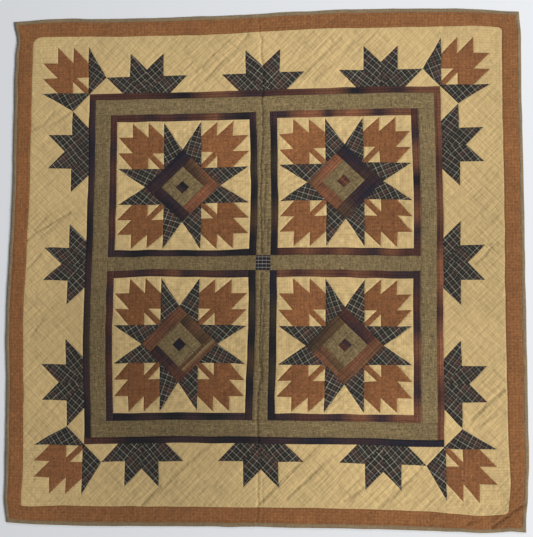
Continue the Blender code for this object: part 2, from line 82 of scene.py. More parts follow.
# Thickness of the quilted layers
PUFF_HEIGHT = 0.0048
SEAM_DIP = 0.0008
SEAM_REACH = 0.0022
QUILTING_DIP = 0.0005
QUILTING_REACH = 0.0022
QUILTING_PITCH = 0.019
WRINKLE_WIDTH = 0.0060
WRINKLE_LENGTH = 0.045
WRINKLE_HEIGHT = 0.00070
PUCKER_HEIGHT = 0.00016
RUMPLE_HEIGHT = 0.0013
RUMPLE_SCALE = 0.0075
RUMPLE_STRETCH = 0.6
# Painted shade in the hollows of the rumples
RUMPLE_SHADE = 0.20
SEAM_PUCKER_HEIGHT = 0.00052
SWELL_HEIGHT = 0.00020
RUFFLE_WIDTH = 0.0060
RUFFLE_STRETCH = 0.11
# Painted shade along the lines of the wrinkles and ruffles
WRINKLE_SHADE = 0.18
RUFFLE_SHADE = 90.0
CREASE_SWAY = 0.0018
CREASE_SWAY_SCALE = 0.010
# Width of the painted shade along a crease's line
CREASE_PAINTED_SHADE_REACH = 0.0015

# Fineness of the meshes
EDGE_STEP = 0.0026
SHOULDERS = (0.0011, 0.0026)
GRID_STEP = 0.0027
GRID_MARGIN = 0.0040
HATCH_STEP = QUILTING_PITCH / 10
CREASE_RANKS = (-1.6, -0.7, 0.0, 0.7, 1.6)
MERGE_DISTANCE = 1e-7
CORNER_STEPS = 6

CORNER_RADII = {"head_right": 0.010, "head_left": 0.022, "foot_left": 0.003, "foot_right": 0.012}
SIDES = ("head", "left", "foot", "right")
CORNERS = ("head_right", "head_left", "foot_left", "foot_right")
BLOCKS = {"head_left": (-1, 1), "head_right": (1, 1), "foot_left": (-1, -1), "foot_right": (1, -1)}


class Lean(NamedTuple):
    shift: float
    per_x: float
    per_y: float


class Push(NamedTuple):
    x: float
    y: float
    reach_x: float
    reach_y: float
    shift_x: float
    shift_y: float


class Ruffle(NamedTuple):
    """Where the border is ruffled: the middle, the reach, and the height of ruffles each way."""

    x: float
    y: float
    reach_x: float
    reach_y: float
    rising: float
    falling: float = 0.0


class PaintedLighting(NamedTuple):
    """Painted light and shade on the whole quilt: where a broad patch is lighter or darker, its middle, its reach, and
    its share of change.
    """

    x: float
    y: float
    reach_x: float
    reach_y: float
    change: float


class Crease(NamedTuple):
    """A trough or ridge along a route: how far it reaches, its lift, and how dark a line of painted shade it shows."""

    route: tuple
    reach: float
    lift: float
    line: float = 0.0


# How the cloth lies: the whole sheet leans a little, and parts of it are pushed or drawn in
LEAN_X = Lean(shift=0.00034, per_x=0.0019, per_y=-0.0008)
LEAN_Y = Lean(shift=-0.00216, per_x=0.0047, per_y=-0.0052)
LAY = {
    "head edge pushed up right of the crease": Push(0.24, 0.64, 0.20, 0.16, 0.0025, 0.009),
    "foot right border spread": Push(0.54, -0.56, 0.17, 0.13, -0.004, -0.0085),
    "left waist drawn in": Push(-0.64, -0.13, 0.17, 0.13, -0.0085, 0.0095),
    "foot left corner drawn in": Push(-0.64, -0.64, 0.07, 0.07, 0.0100, 0.005),
    "head right corner drawn in": Push(0.64, 0.64, 0.07, 0.07, -0.003, -0.009),
    "foot right corner drawn in": Push(0.64, -0.64, 0.07, 0.07, -0.0105, 0.0015),
    "blocks pushed up right of the middle": Push(0.13, 0.13, 0.26, 0.13, 0.004, 0.006),
    "right ring bulge": Push(0.43, 0.16, 0.08, 0.14, 0.002, -0.003),
    "crease leans left at the foot": Push(0.06, -0.40, 0.20, 0.09, -0.005, 0.002),
    "foot left ring corner drawn in": Push(-0.42, -0.44, 0.07, 0.09, 0.0045, -0.0025),
    "foot left block pushed up": Push(-0.20, -0.20, 0.14, 0.14, -0.003, 0.006),
    "head left block drawn down": Push(-0.20, 0.24, 0.20, 0.09, 0.0005, -0.0065),
    "right waist drawn in": Push(0.60, -0.15, 0.12, 0.20, -0.0045, 0.001),
    "right edge spread": Push(0.66, -0.02, 0.045, 0.26, 0.0035, 0.0),
    "left edge drawn in": Push(-0.66, -0.15, 0.045, 0.35, 0.0048, 0.0),
    "head left corner pushed up": Push(-0.53, 0.66, 0.06, 0.07, 0.0, 0.0048),
    "head right corner spread": Push(0.64, 0.55, 0.06, 0.08, 0.0030, 0.0),
    "foot left edge spread": Push(-0.45, -0.66, 0.18, 0.05, 0.0, -0.0020),
    "head left corner spread": Push(-0.64, 0.64, 0.05, 0.05, -0.0050, -0.001),
    "foot right cream spread to the right": Push(0.585, -0.52, 0.024, 0.05, 0.0052, 0.0),
    "foot right cream spread to the foot": Push(0.52, -0.585, 0.05, 0.030, 0.0, -0.0058),
    "head right cream spread to the head": Push(0.54, 0.585, 0.04, 0.030, 0.0, 0.0035),
    "head border full on the left": Push(-0.17, 0.575, 0.12, 0.030, 0.0, -0.0033),
    "head border full on the right": Push(0.28, 0.575, 0.08, 0.030, 0.0, -0.0033),
    "upper sash drawn in": Push(-0.030, 0.22, 0.022, 0.12, 0.0036, 0.0),
    "lower sash drawn in": Push(-0.025, -0.14, 0.020, 0.10, 0.0026, 0.0),
    "lower sash spread": Push(-0.040, -0.36, 0.030, 0.05, -0.0020, 0.0),
    "left sash drawn in": Push(-0.27, -0.024, 0.05, 0.022, 0.0, 0.0036),
    "left sash frame drawn in": Push(-0.13, 0.042, 0.05, 0.014, 0.0, -0.0035),
    "right sash pushed down": Push(0.31, -0.035, 0.06, 0.05, 0.0, -0.0034),
    "right sash pushed up": Push(0.12, 0.0, 0.05, 0.05, 0.0, 0.0016),
    "left edge notched below the head": Push(-0.645, 0.583, 0.028, 0.023, 0.0080, 0.0),
    "foot left corner spread": Push(-0.61, -0.58, 0.045, 0.030, -0.0072, 0.0),
    "foot left cream spread to the foot": Push(-0.58, -0.595, 0.035, 0.020, 0.0, -0.0050),
    "head right cream spread to the right": Push(0.61, 0.585, 0.04, 0.030, 0.0038, 0.0),
    "foot edge notched on the right": Push(0.598, -0.66, 0.016, 0.04, 0.0, 0.0034),
    "foot edge drawn in on the right": Push(0.449, -0.66, 0.035, 0.04, 0.0, 0.0024),
}
RIPPLE = 0.0010
RIPPLE_SCALE = 0.040

RUFFLES = {
    "head border, left of the crease": Ruffle(-0.130, 0.520, 0.090, 0.060, 0.0010),
    "head border, right of the crease": Ruffle(0.150, 0.520, 0.090, 0.060, 0.0010),
    "head border, outer parts": Ruffle(-0.400, 0.540, 0.080, 0.050, 0.0005, 0.0003),
    "foot border, left": Ruffle(-0.180, -0.550, 0.090, 0.070, 0.0009),
    "foot border, right of the crease": Ruffle(0.090, -0.550, 0.090, 0.070, 0.0009),
    "foot border, right": Ruffle(0.340, -0.560, 0.070, 0.070, 0.0009),
    "foot border, far left": Ruffle(-0.420, -0.560, 0.080, 0.060, 0.0006, 0.0004),
    "left border": Ruffle(-0.540, 0.160, 0.045, 0.110, 0.0005, 0.0003),
    "left border, low": Ruffle(-0.540, -0.160, 0.040, 0.100, 0.0005, 0.0003),
    "left border, lowest": Ruffle(-0.560, -0.420, 0.050, 0.100, 0.0006, 0.0006),
    "right border": Ruffle(0.540, 0.060, 0.045, 0.140, 0.0008, 0.0008),
    "right border, high": Ruffle(0.560, 0.380, 0.040, 0.120, 0.0006, 0.0006),
    "right border, low": Ruffle(0.540, -0.350, 0.045, 0.100, 0.0009, 0.0005),
    "foot right corner": Ruffle(0.560, -0.580, 0.070, 0.060, 0.0010, 0.0002),
}

# Broad painted light and shade, standing in for the light that falls unevenly on the folded quilt
PAINTED_LIGHTING = {
    "foot left": PaintedLighting(-0.255, -0.42, 0.18, 0.28, -0.21),
    "left": PaintedLighting(-0.430, -0.17, 0.06, 0.09, -0.12),
    "right": PaintedLighting(0.456, -0.08, 0.18, 0.30, -0.18),
    "head": PaintedLighting(0.100, 0.35, 0.24, 0.19, 0.19),
    "foot right": PaintedLighting(0.333, -0.28, 0.19, 0.30, 0.22),
    "foot sash": PaintedLighting(0.190, -0.390, 0.17, 0.028, 0.16),
}

CREASES = {
    "centre, head": Crease(
        ((-0.012, 0.640), (-0.009, 0.587), (-0.003, 0.572), (-0.005, 0.548), (-0.002, 0.524)), 0.0022, -0.0010, 0.24
    ),
    "centre, head star": Crease(((-0.002, 0.524), (0.004, 0.480), (-0.001, 0.424)), 0.0024, -0.0011, 0.28),
    "centre, upper sash": Crease(
        ((-0.001, 0.424), (0.001, 0.357), (-0.006, 0.270), (-0.010, 0.176), (-0.009, 0.125), (-0.004, 0.023)),
        0.0022, -0.0014, 0.58,
    ),
    "second, upper sash": Crease(
        ((0.005, 0.250), (0.004, 0.189), (-0.001, 0.127), (0.002, 0.085)), 0.0020, -0.0010, 0.38
    ),
    "third, upper sash": Crease(((0.011, 0.111), (0.008, 0.077), (0.011, 0.040)), 0.0020, -0.0009, 0.36),
    "centre, lower sash": Crease(
        ((-0.004, -0.025), (-0.005, -0.131), (-0.006, -0.199), (0.000, -0.272), (-0.006, -0.330), (-0.004, -0.433)),
        0.0022, -0.0014, 0.58,
    ),
    "second, lower sash": Crease(((0.005, -0.091), (0.001, -0.190), (0.003, -0.296)), 0.0020, -0.0010, 0.42),
    "centre, foot": Crease(((-0.004, -0.433), (-0.007, -0.542), (-0.011, -0.640)), 0.0022, -0.0010, 0.24),
    "second, foot": Crease(((0.003, -0.524), (0.003, -0.585), (-0.001, -0.640)), 0.0022, -0.0007, 0.16),
    "ridge beside the centre": Crease(((-0.020, 0.660), (-0.018, -0.660)), 0.0120, 0.0007),
    "left border": Crease(
        ((-0.589, 0.061), (-0.566, 0.085), (-0.538, 0.100), (-0.512, 0.118), (-0.485, 0.135)), 0.0024, -0.0014, 0.22
    ),
    "left border, beside": Crease(((-0.560, 0.066), (-0.541, 0.084), (-0.482, 0.134)), 0.0024, -0.0008, 0.10),
    "left border, second": Crease(((-0.580, 0.077), (-0.545, 0.122), (-0.522, 0.139)), 0.0024, -0.0008, 0.08),
    "left border, ridge": Crease(((-0.575, 0.083), (-0.530, 0.125)), 0.0060, 0.0006),
    "left border, third": Crease(((-0.585, -0.011), (-0.569, 0.006), (-0.553, 0.026)), 0.0030, -0.0013, 0.10),
    "left border, low": Crease(((-0.570, -0.187), (-0.555, -0.164), (-0.539, -0.144)), 0.0030, -0.0013, 0.08),
    "left border, high": Crease(((-0.586, 0.349), (-0.554, 0.365), (-0.532, 0.394)), 0.0030, -0.0013, 0.06),
    "left border, highest": Crease(((-0.539, 0.359), (-0.514, 0.377), (-0.489, 0.394)), 0.0030, -0.0011, 0.05),
    "right border": Crease(((0.517, -0.003), (0.539, 0.014), (0.554, 0.034)), 0.0032, -0.0019, 0.20),
    "right border, ridge": Crease(((0.515, 0.014), (0.545, 0.040)), 0.0060, 0.0010),
    "right border, second": Crease(((0.544, 0.042), (0.569, 0.044)), 0.0030, -0.0013, 0.06),
    "right border, low": Crease(((0.502, -0.375), (0.538, -0.341), (0.580, -0.306)), 0.0032, -0.0018, 0.14),
    "right border, lowest": Crease(((0.508, -0.395), (0.535, -0.378), (0.560, -0.364)), 0.0030, -0.0013),
    "foot border, left": Crease(((-0.294, -0.584), (-0.248, -0.543)), 0.0038, -0.0018, 0.14),
    "foot border, after that": Crease(((-0.232, -0.533), (-0.177, -0.486), (-0.123, -0.441)), 0.0034, -0.0014, 0.06),
    "foot border, middle": Crease(
        ((-0.007, -0.578), (0.033, -0.541), (0.096, -0.484), (0.140, -0.442)), 0.0032, -0.0018, 0.16
    ),
    "foot border, beside": Crease(((0.062, -0.568), (0.106, -0.525), (0.148, -0.486)), 0.0032, -0.0014, 0.06),
    "foot border, beside that": Crease(((0.078, -0.551), (0.173, -0.466)), 0.0030, -0.0012),
    "foot border, low": Crease(((0.196, -0.571), (0.245, -0.540)), 0.0030, -0.0013, 0.06),
    "foot border, right": Crease(((0.279, -0.585), (0.326, -0.544), (0.382, -0.489)), 0.0030, -0.0017, 0.14),
    "head border, left": Crease(((-0.146, 0.469), (-0.092, 0.526), (-0.037, 0.583)), 0.0032, -0.0014),
    "head border, left of that": Crease(((-0.171, 0.490), (-0.123, 0.537), (-0.078, 0.580)), 0.0032, -0.0012),
    "head border, right": Crease(((0.093, 0.465), (0.147, 0.522), (0.192, 0.562)), 0.0032, -0.0014),
    "head border, right of that": Crease(((0.123, 0.455), (0.177, 0.508), (0.221, 0.551)), 0.0032, -0.0012),
    "foot right corner": Crease(
        ((0.549, -0.621), (0.588, -0.594), (0.607, -0.580), (0.630, -0.566)), 0.0034, -0.0030, 0.42
    ),
    "foot right corner, beside": Crease(((0.490, -0.613), (0.504, -0.605), (0.519, -0.601)), 0.0030, -0.0016, 0.30),
    "foot right corner, ridge": Crease(((0.565, -0.600), (0.612, -0.565)), 0.0060, 0.0014),
}


def srgb(red, green, blue):
    """Linear colour of a displayed colour out of 255."""
    shares = (channel / 255 for channel in (red, green, blue))
    return tuple(c / 12.92 if c < 0.04045 else ((c + 0.055) / 1.055) ** 2.4 for c in shares)


DYES = {
    "cream": srgb(204, 177, 125),
    "wheat": srgb(178, 149, 99),
    "rust": srgb(132, 86, 52),
    "dark rust": srgb(123, 79, 48),
    "bright rust": srgb(141, 92, 55),
    "amber": srgb(138, 92, 55),
    "dark amber": srgb(125, 83, 49),
    "bright amber": srgb(151, 100, 59),
    "olive": srgb(113, 96, 66),
    "dark olive": srgb(76, 62, 40),
    "khaki": srgb(146, 128, 91),
    "dun": srgb(134, 115, 88),
    "dark dun": srgb(112, 96, 71),
    "black": srgb(28, 25, 29),
    "night": srgb(32, 29, 39),
    "plum": srgb(52, 37, 39),
    "maroon": srgb(72, 44, 37),
    "russet": srgb(101, 65, 46),
    "ember": srgb(124, 79, 55),
    "bark": srgb(88, 66, 44),
    "brown": srgb(64, 48, 36),
    "moss": srgb(50, 42, 34),
    "bone": srgb(172, 168, 152),
    "sage": srgb(137, 136, 120),
    "stone": srgb(112, 109, 97),
    "slate": srgb(82, 77, 70),
    "coal": srgb(29, 28, 26),
    "pine": srgb(33, 34, 30),
    "wine": srgb(47, 34, 32),
}

# Bands of each strip, from the left or the head end: each dye and its share of the length
BANDS = {
    "head_left head": "maroon 22, plum 8, maroon 14, plum 10, maroon 14, russet 10, plum 14, black 8",
    "head_left left": "maroon 18, plum 12, maroon 20, plum 18, maroon 18, plum 14",
    "head_left foot": "plum 6, black 26, plum 11, black 24, plum 11, black 22",
    "head_left right": "plum 6, black 26, moss 12, black 24, brown 12, black 20",
    "head_right head": "plum 10, russet 8, ember 18, plum 5, russet 12, ember 8, russet 9, plum 12, russet 18",
    "head_right left": "plum 8, black 20, moss 14, black 24, brown 14, black 20",
    "head_right foot": "maroon 14, russet 14, maroon 14, russet 12, maroon 12, plum 10, russet 14, maroon 10",
    "head_right right": "maroon 12, plum 10, russet 22, black 10, maroon 10, russet 14, plum 12, maroon 10",
    "foot_left head": "maroon 14, plum 12, maroon 16, russet 6, plum 14, maroon 18, plum 20",
    "foot_left left": "maroon 8, plum 12, maroon 22, plum 16, maroon 18, plum 24",
    "foot_left foot": "black 20, plum 16, black 20, plum 10, black 22, plum 12",
    "foot_left right": "black 14, moss 22, black 18, brown 14, black 20, plum 12",
    "foot_right head": "russet 8, maroon 14, russet 20, maroon 10, russet 16, maroon 14, plum 18",
    "foot_right left": "night 20, moss 16, black 26, moss 14, black 24",
    "foot_right foot": "plum 14, maroon 24, plum 14, russet 18, plum 14, russet 16",
    "foot_right right": "plum 14, maroon 16, plum 16, russet 14, maroon 16, plum 12, russet 14",
    "ring head": "maroon 25, black 6, russet 12, plum 10, maroon 14, russet 8, black 5, maroon 8, plum 4, russet 10",
    "ring left": "plum 10, night 10, plum 14, black 12, plum 20, moss 12, plum 14, black 8",
    "ring foot": "maroon 8, black 16, plum 12, black 16, plum 10, night 10, plum 10, night 20",
    "ring right": "russet 18, maroon 6, russet 16, maroon 5, ember 16, maroon 6, ember 18, maroon 5, russet 10",
}


class Cabin(NamedTuple):
    """A log-cabin square: how its olive square lies, its dyes, and the logs that hold its corners.

    Outer logs are banded from the inside out, then along: both from the left or the foot end.
    """

    shift_x: float
    shift_y: float
    olive_half: float
    middle: str
    north_east: tuple
    north_west: tuple
    south_west: tuple
    south_east: tuple
    top: str = "north_east"
    left: str = "north_west"
    bottom: str = "south_west"
    right: str = "south_east"


CABINS = {
    "head_left": Cabin(
        0.0000, -0.0012, 0.0375, "plum 1, black 1",
        north_east=("brown 5, bark 3, ember 2", "russet 1, brown 3"),
        north_west=("plum 1, night 1", "plum 6, night 4"),
        south_west=("plum 1, black 1", "plum 3, night 5, plum 2"),
        south_east=("ember 3, russet 1", "russet 3, ember 5, russet 2"),
        top="north_west",
    ),
    "head_right": Cabin(
        -0.0038, 0.0014, 0.0372, "maroon 2, russet 1, maroon 2",
        north_east=("plum 1, night 1", "brown 2, plum 3, night 4"),
        north_west=("ember 1, russet 1", "bark 3, ember 8"),
        south_west=("russet 2, ember 1", "russet 4, ember 3, russet 3"),
        south_east=("plum 1, night 1", "bark 4, plum 2, night 5, plum 2"),
        bottom="south_east",
    ),
    "foot_left": Cabin(
        0.0012, -0.0028, 0.0392, "night 1, black 1",
        north_east=("brown 1, bark 1", "brown 2, bark 2, russet 2, brown 3"),
        north_west=("bark 1, russet 2", "russet 5, maroon 2, russet 3"),
        south_west=("plum 1, maroon 1", "russet 3, plum 5, black 2"),
        south_east=("bark 3, khaki 1, russet 4", "russet 3, bark 5"),
        top="north_west",
    ),
    "foot_right": Cabin(
        0.0009, 0.0014, 0.0378, "maroon 3, plum 2",
        north_east=("plum 1, maroon 1", "maroon 3, plum 4, maroon 4"),
        north_west=("bark 2, brown 3", "moss 3, brown 4, bark 3"),
        south_west=("bark 3, brown 1, ember 3", "bark 4, russet 3"),
        south_east=("russet 1, bark 1", "russet 2, ember 5, russet 3"),
        bottom="south_east",
    ),
}


class Tones(NamedTuple):
    """How light the rust cloth of a block's four leaves is."""

    north_east: float
    north_west: float
    south_west: float
    south_east: float


LEAF_TONES = {
    "head_left": Tones(1.00, 0.92, 0.87, 0.85),
    "head_right": Tones(0.93, 1.06, 1.00, 0.90),
    "foot_left": Tones(0.86, 0.82, 0.80, 0.82),
    "foot_right": Tones(0.86, 1.05, 0.97, 0.91),
}


# How light the olive cloth of each strip is
ARM_TONES = {"head": 1.06, "left": 0.96, "foot": 1.00, "right": 1.10}
OLIVE_TONES = {"head": 1.12, "left": 1.00, "foot": 0.98, "right": 1.16}


def hashed(cell_x, cell_y, seed):
    """A repeatable number from 0 to 1 for each lattice cell."""
    mixed = np.sin(cell_x * 127.1 + cell_y * 311.7 + seed * 74.7) * 43758.5453
    return mixed - np.floor(mixed)


def noise(x, y, scale, seed):
    """Smooth noise from -1 to 1 with one lattice cell to a scale."""
    cell_x, part_x = np.floor(x / scale), x / scale - np.floor(x / scale)
    cell_y, part_y = np.floor(y / scale), y / scale - np.floor(y / scale)
    ease_x = part_x**2 * (3 - 2 * part_x)
    ease_y = part_y**2 * (3 - 2 * part_y)
    low = hashed(cell_x, cell_y, seed) * (1 - ease_x) + hashed(cell_x + 1, cell_y, seed) * ease_x
    cell_y = cell_y + 1
    high = hashed(cell_x, cell_y, seed) * (1 - ease_x) + hashed(cell_x + 1, cell_y, seed) * ease_x
    return 2 * (low * (1 - ease_y) + high * ease_y) - 1


def lay(x, y):
    """Where drafted points come to lie."""
    across = LEAN_X.shift + LEAN_X.per_x * x + LEAN_X.per_y * y + RIPPLE * noise(x, y, RIPPLE_SCALE, 1)
    along = LEAN_Y.shift + LEAN_Y.per_x * x + LEAN_Y.per_y * y + RIPPLE * noise(x, y, RIPPLE_SCALE, 2)
    for push in LAY.values():
        square = ((x - push.x) / push.reach_x) ** 2 + ((y - push.y) / push.reach_y) ** 2
        weight = np.exp(-square / 2)
        across += push.shift_x * weight
        along += push.shift_y * weight
    return x + across, y + along


def from_segment(x, y, x0, y0, x1, y1):
    """Distance of points from a straight segment."""
    run_x = x1 - x0
    run_y = y1 - y0
    share = np.clip(((x - x0) * run_x + (y - y0) * run_y) / (run_x**2 + run_y**2), 0, 1)
    return np.hypot(x - x0 - share * run_x, y - y0 - share * run_y)


def from_route(x, y, route):
    """Distance of points from a route of straight segments."""
    return np.min([from_segment(x, y, *start, *end) for start, end in zip(route, route[1:])], axis=0)


def painted_lighting(x, y):
    """Factor of the broad painted light and shade at drafted points."""
    painted_brightness = np.ones_like(x)
    for blotch in PAINTED_LIGHTING.values():
        square = ((x - blotch.x) / blotch.reach_x) ** 2 + ((y - blotch.y) / blotch.reach_y) ** 2
        painted_brightness *= 1 + blotch.change * np.exp(-square / 2)
    return painted_brightness


def creased(x, y):
    """How far the creases lift the face at drafted points, and how dark the painted shade along their lines is there.
    """
    lift, line = np.zeros_like(x), np.zeros_like(x)
    swayed = x + CREASE_SWAY * noise(x, y, CREASE_SWAY_SCALE, 12)
    for crease in CREASES.values():
        distance = from_route(swayed, y, crease.route)
        lift += crease.lift * np.exp(-((distance / crease.reach) ** 2) / 2)
        # Painted shade along the crease's line
        line = np.maximum(line, crease.line * np.exp(-((distance / CREASE_PAINTED_SHADE_REACH) ** 2)))
    return lift, line


def crease_points():
    """Drafted points on and beside the creases that show a line of painted shade, close enough to carry their form."""
    placed = []
    for crease in CREASES.values():
        for (x0, y0), (x1, y1) in zip(crease.route, crease.route[1:]):
            length = math.hypot(x1 - x0, y1 - y0)
            share = np.linspace(0, 1, max(2, round(length / EDGE_STEP)), endpoint=False)
            for rank in CREASE_RANKS if crease.line else ():
                x = x0 + share * (x1 - x0) - rank * crease.reach * (y1 - y0) / length
                y = y0 + share * (y1 - y0) + rank * crease.reach * (x1 - x0) / length
                placed.append(np.column_stack((x - CREASE_SWAY * noise(x, y, CREASE_SWAY_SCALE, 12), y)))
    return np.concatenate(placed)


def sides_of(outline):
    return zip(outline, outline[1:] + outline[:1])


def inside_depth(points, outline):
    """Distance of points from an outline, positive inside it."""
    x, y = points[:, 0], points[:, 1]
    nearest = np.full(len(points), np.inf)
    within = np.zeros(len(points), bool)
    for (x0, y0), (x1, y1) in sides_of(outline):
        nearest = np.minimum(nearest, from_segment(x, y, x0, y0, x1, y1))
        if y0 != y1:
            crosses = ((y0 > y) != (y1 > y)) & (x < x0 + (y - y0) * (x1 - x0) / (y1 - y0))
            within ^= crosses
    return np.where(within, nearest, -nearest)


def turned(points, quarters):
    for _ in range(quarters % 4):
        points = [(-y, x) for x, y in points]
    return points


def shifted(points, x, y):
    return [(px + x, py + y) for px, py in points]


def mirrored(points):
    return [(-x, y) for x, y in points][::-1]


def rectangle(x0, y0, x1, y1):
    return [(x0, y0), (x1, y0), (x1, y1), (x0, y1)]


def anticlockwise(outline):
    """An outline's points in that order, repeated ones dropped."""
    outline = [point for point, following in sides_of(outline) if math.dist(point, following) > MERGE_DISTANCE]
    area = sum(x0 * y1 - x1 * y0 for (x0, y0), (x1, y1) in sides_of(outline))
    return outline if area > 0 else outline[::-1]


class Patch(NamedTuple):
    """A piece of cloth in a panel: what it is cut from, how it is turned, and its dyes."""

    cloth: str
    outline: list
    angle: float = 0.0
    along: str = ""
    across: str = ""
    quilting: tuple = ()
    holes: tuple = ()
    hatched: bool = False
    tone: float = 1.0

    def moved(self, change, degrees=0.0):
        return self._replace(
            outline=change(self.outline),
            angle=self.angle + degrees,
            quilting=tuple(tuple(change(list(line))) for line in self.quilting),
        )


def edge_samples(outline):
    """Points along an outline, and the inward normal at each."""
    points, normals = [], []
    for (x0, y0), (x1, y1) in sides_of(outline):
        length = math.hypot(x1 - x0, y1 - y0)
        count = max(1, round(length / EDGE_STEP))
        for step in range(count):
            share = step / count
            points.append((x0 + share * (x1 - x0), y0 + share * (y1 - y0)))
            normals.append((-(y1 - y0) / length, (x1 - x0) / length))
    return np.array(points), np.array(normals)


def hatched_points(low, high):
    """Points on the diagonals that carry the quilting lines and divide the squares between them."""
    reach = 2 * max(abs(low).max(), abs(high).max())
    cells = math.ceil(reach / HATCH_STEP)
    line = np.arange(-cells, cells + 1) * HATCH_STEP
    u, v = (grid.ravel() for grid in np.meshgrid(line, line))
    points = np.column_stack((u - v, u + v)) * math.sqrt(0.5)
    return points[((points > low) & (points < high)).all(axis=1)]


def triangulated(patch):
    """A patch cut into small triangles: its drafted points, the triangles, and the depth inside it."""
    loops = [anticlockwise(patch.outline)] + [anticlockwise(hole) for hole in patch.holes]
    placed = []
    edges = []
    shoulder_points = []
    start = 0
    for index, loop in enumerate(loops):
        points, normals = edge_samples(loop)
        placed.append(points)
        edges += [(start + k, start + (k + 1) % len(points)) for k in range(len(points))]
        start += len(points)
        inward = normals if index == 0 else -normals
        for distance in SHOULDERS:
            shoulder = points + inward * distance
            depth = depth_in(shoulder, loops)
            shoulder_points.append(shoulder[depth > 0.93 * distance])
    outline = np.array(loops[0])
    low, high = outline.min(axis=0), outline.max(axis=0)
    if patch.hatched:
        inner = hatched_points(low, high)
    else:
        xs = np.arange(low[0] + GRID_STEP / 2, high[0], GRID_STEP)
        ys = np.arange(low[1] + GRID_STEP / 2, high[1], GRID_STEP * 0.866)
        grid_x, grid_y = np.meshgrid(xs, ys)
        grid_x[1::2] += GRID_STEP / 2
        inner = np.column_stack((grid_x.ravel(), grid_y.ravel()))
    if len(inner):
        inner = inner[depth_in(inner, loops) > GRID_MARGIN]
    by_creases = BY_CREASES[((BY_CREASES > low) & (BY_CREASES < high)).all(axis=1)]
    if len(by_creases):
        by_creases = by_creases[depth_in(by_creases, loops) > SHOULDERS[0]]
    points = np.concatenate(placed + shoulder_points + [inner, by_creases])
    flat, _, triangles, _, _, _ = delaunay_2d_cdt(points.tolist(), edges, [], 0, MERGE_DISTANCE, False)
    flat = np.array([tuple(point) for point in flat])
    triangles = np.array(triangles)
    middles = flat[triangles].mean(axis=1)
    triangles = triangles[depth_in(middles, loops) > 0]
    return flat, triangles, np.maximum(depth_in(flat, loops), 0)


def depth_in(points, loops):
    """Depth inside the first loop and outside the others."""
    depth = inside_depth(points, loops[0])
    for hole in loops[1:]:
        depth = np.minimum(depth, -inside_depth(points, hole))
    return depth


def dip(distance, reach):
    """Share of a dip that is left at a distance from its line."""
    return np.exp(-((distance / reach) ** 1.5))


def pinched(value, power):
    """Noise turned into narrow lines where it passes through nought."""
    return (1 - abs(value)) ** power


def wrinkles(x, y):
    """Washed-in wrinkles, and how deep in their lines a point lies.

    They are long, on the diagonals, and mostly on the one that rises to the right.
    """
    across = (x - y) * math.sqrt(0.5)
    along = (x + y) * math.sqrt(0.5)
    stretch = WRINKLE_WIDTH / WRINKLE_LENGTH
    rising = noise(across, along * stretch, WRINKLE_WIDTH, 8)
    falling = noise(along, across * stretch, WRINKLE_WIDTH, 9)
    head_or_foot = np.clip((abs(y) - abs(x)) / 0.15, -1, 1)
    patchy = 0.65 + 0.35 * noise(x, y, 0.09, 10)
    risen = patchy * (0.75 + 0.25 * head_or_foot)
    fallen = patchy * (0.46 - 0.16 * head_or_foot)
    lift = 1.3 * risen * (0.3 - pinched(rising, 2)) + 1.3 * fallen * (0.3 - pinched(falling, 2))
    return lift, risen * pinched(rising, 5) + fallen * pinched(falling, 5)


def ruffled(x, y):
    """Depth of the long pinched ruffles in the parts of the border that have them."""
    across = (x - y) * math.sqrt(0.5)
    along = (x + y) * math.sqrt(0.5)
    total = np.zeros_like(x)
    for ruffle in RUFFLES.values():
        square = ((x - ruffle.x) / ruffle.reach_x) ** 2 + ((y - ruffle.y) / ruffle.reach_y) ** 2
        rising = ruffle.rising * pinched(noise(across, along * RUFFLE_STRETCH, RUFFLE_WIDTH, 14), 3)
        falling = ruffle.falling * pinched(noise(along, across * RUFFLE_STRETCH, RUFFLE_WIDTH, 15), 3)
        total += np.exp(-square / 2) * (rising + falling)
    return total


def in_block(x, y):
    """Nearly 1 inside a star block, falling to nought beyond its frame."""
    return np.exp(-(((abs(x) - BLOCK_CENTRE) / BLOCK_HALF) ** 8) - ((abs(y) - BLOCK_CENTRE) / BLOCK_HALF) ** 8)


def quilting_distance(patch, x, y):
    """Distance from the nearest quilting line."""
    nearest = np.full(len(x), 1.0)
    for (x0, y0), (x1, y1) in patch.quilting:
        nearest = np.minimum(nearest, from_segment(x, y, x0, y0, x1, y1))
    if patch.hatched:
        for diagonal in (x - y, x + y):
            phase = diagonal * math.sqrt(0.5) / QUILTING_PITCH
            nearest = np.minimum(nearest, np.abs(phase - np.round(phase)) * QUILTING_PITCH)
    return nearest


def band_colours(share, bands):
    """Linear colours at shares of a run that is banded, edges a little blurred."""
    names, widths = zip(*(band.split() for band in bands.split(", ")))
    widths = np.array(widths, float)
    ends = np.cumsum(widths) / widths.sum()
    starts = ends - widths / widths.sum()
    blur = 0.35 * (ends - starts)
    stops = np.column_stack((starts + blur, ends - blur)).ravel()
    dyes = np.repeat([DYES[name] for name in names], 2, axis=0)
    return np.column_stack([np.interp(share, stops, dyes[:, channel]) for channel in range(3)])


def dyed(patch, x, y):
    """Linear colour of a patch's cloth at drafted points, from its bands along and across."""
    if not (patch.along or patch.across):
        return np.ones((len(x), 3))
    (x0, y0), (x1, y1) = patch.outline[:2]
    far_x, far_y = patch.outline[2]
    run = math.hypot(x1 - x0, y1 - y0)
    ahead = np.array(((x1 - x0) / run, (y1 - y0) / run))
    depth = abs((far_x - x1) * ahead[1] - (far_y - y1) * ahead[0])
    along = ((x - x0) * ahead[0] + (y - y0) * ahead[1]) / run
    across = abs((x - x0) * ahead[1] - (y - y0) * ahead[0]) / depth
    if not patch.across:
        return band_colours(along, patch.along)
    if not patch.along:
        return band_colours(across, patch.across)
    return (band_colours(along, patch.along) + band_colours(across, patch.across)) / 2


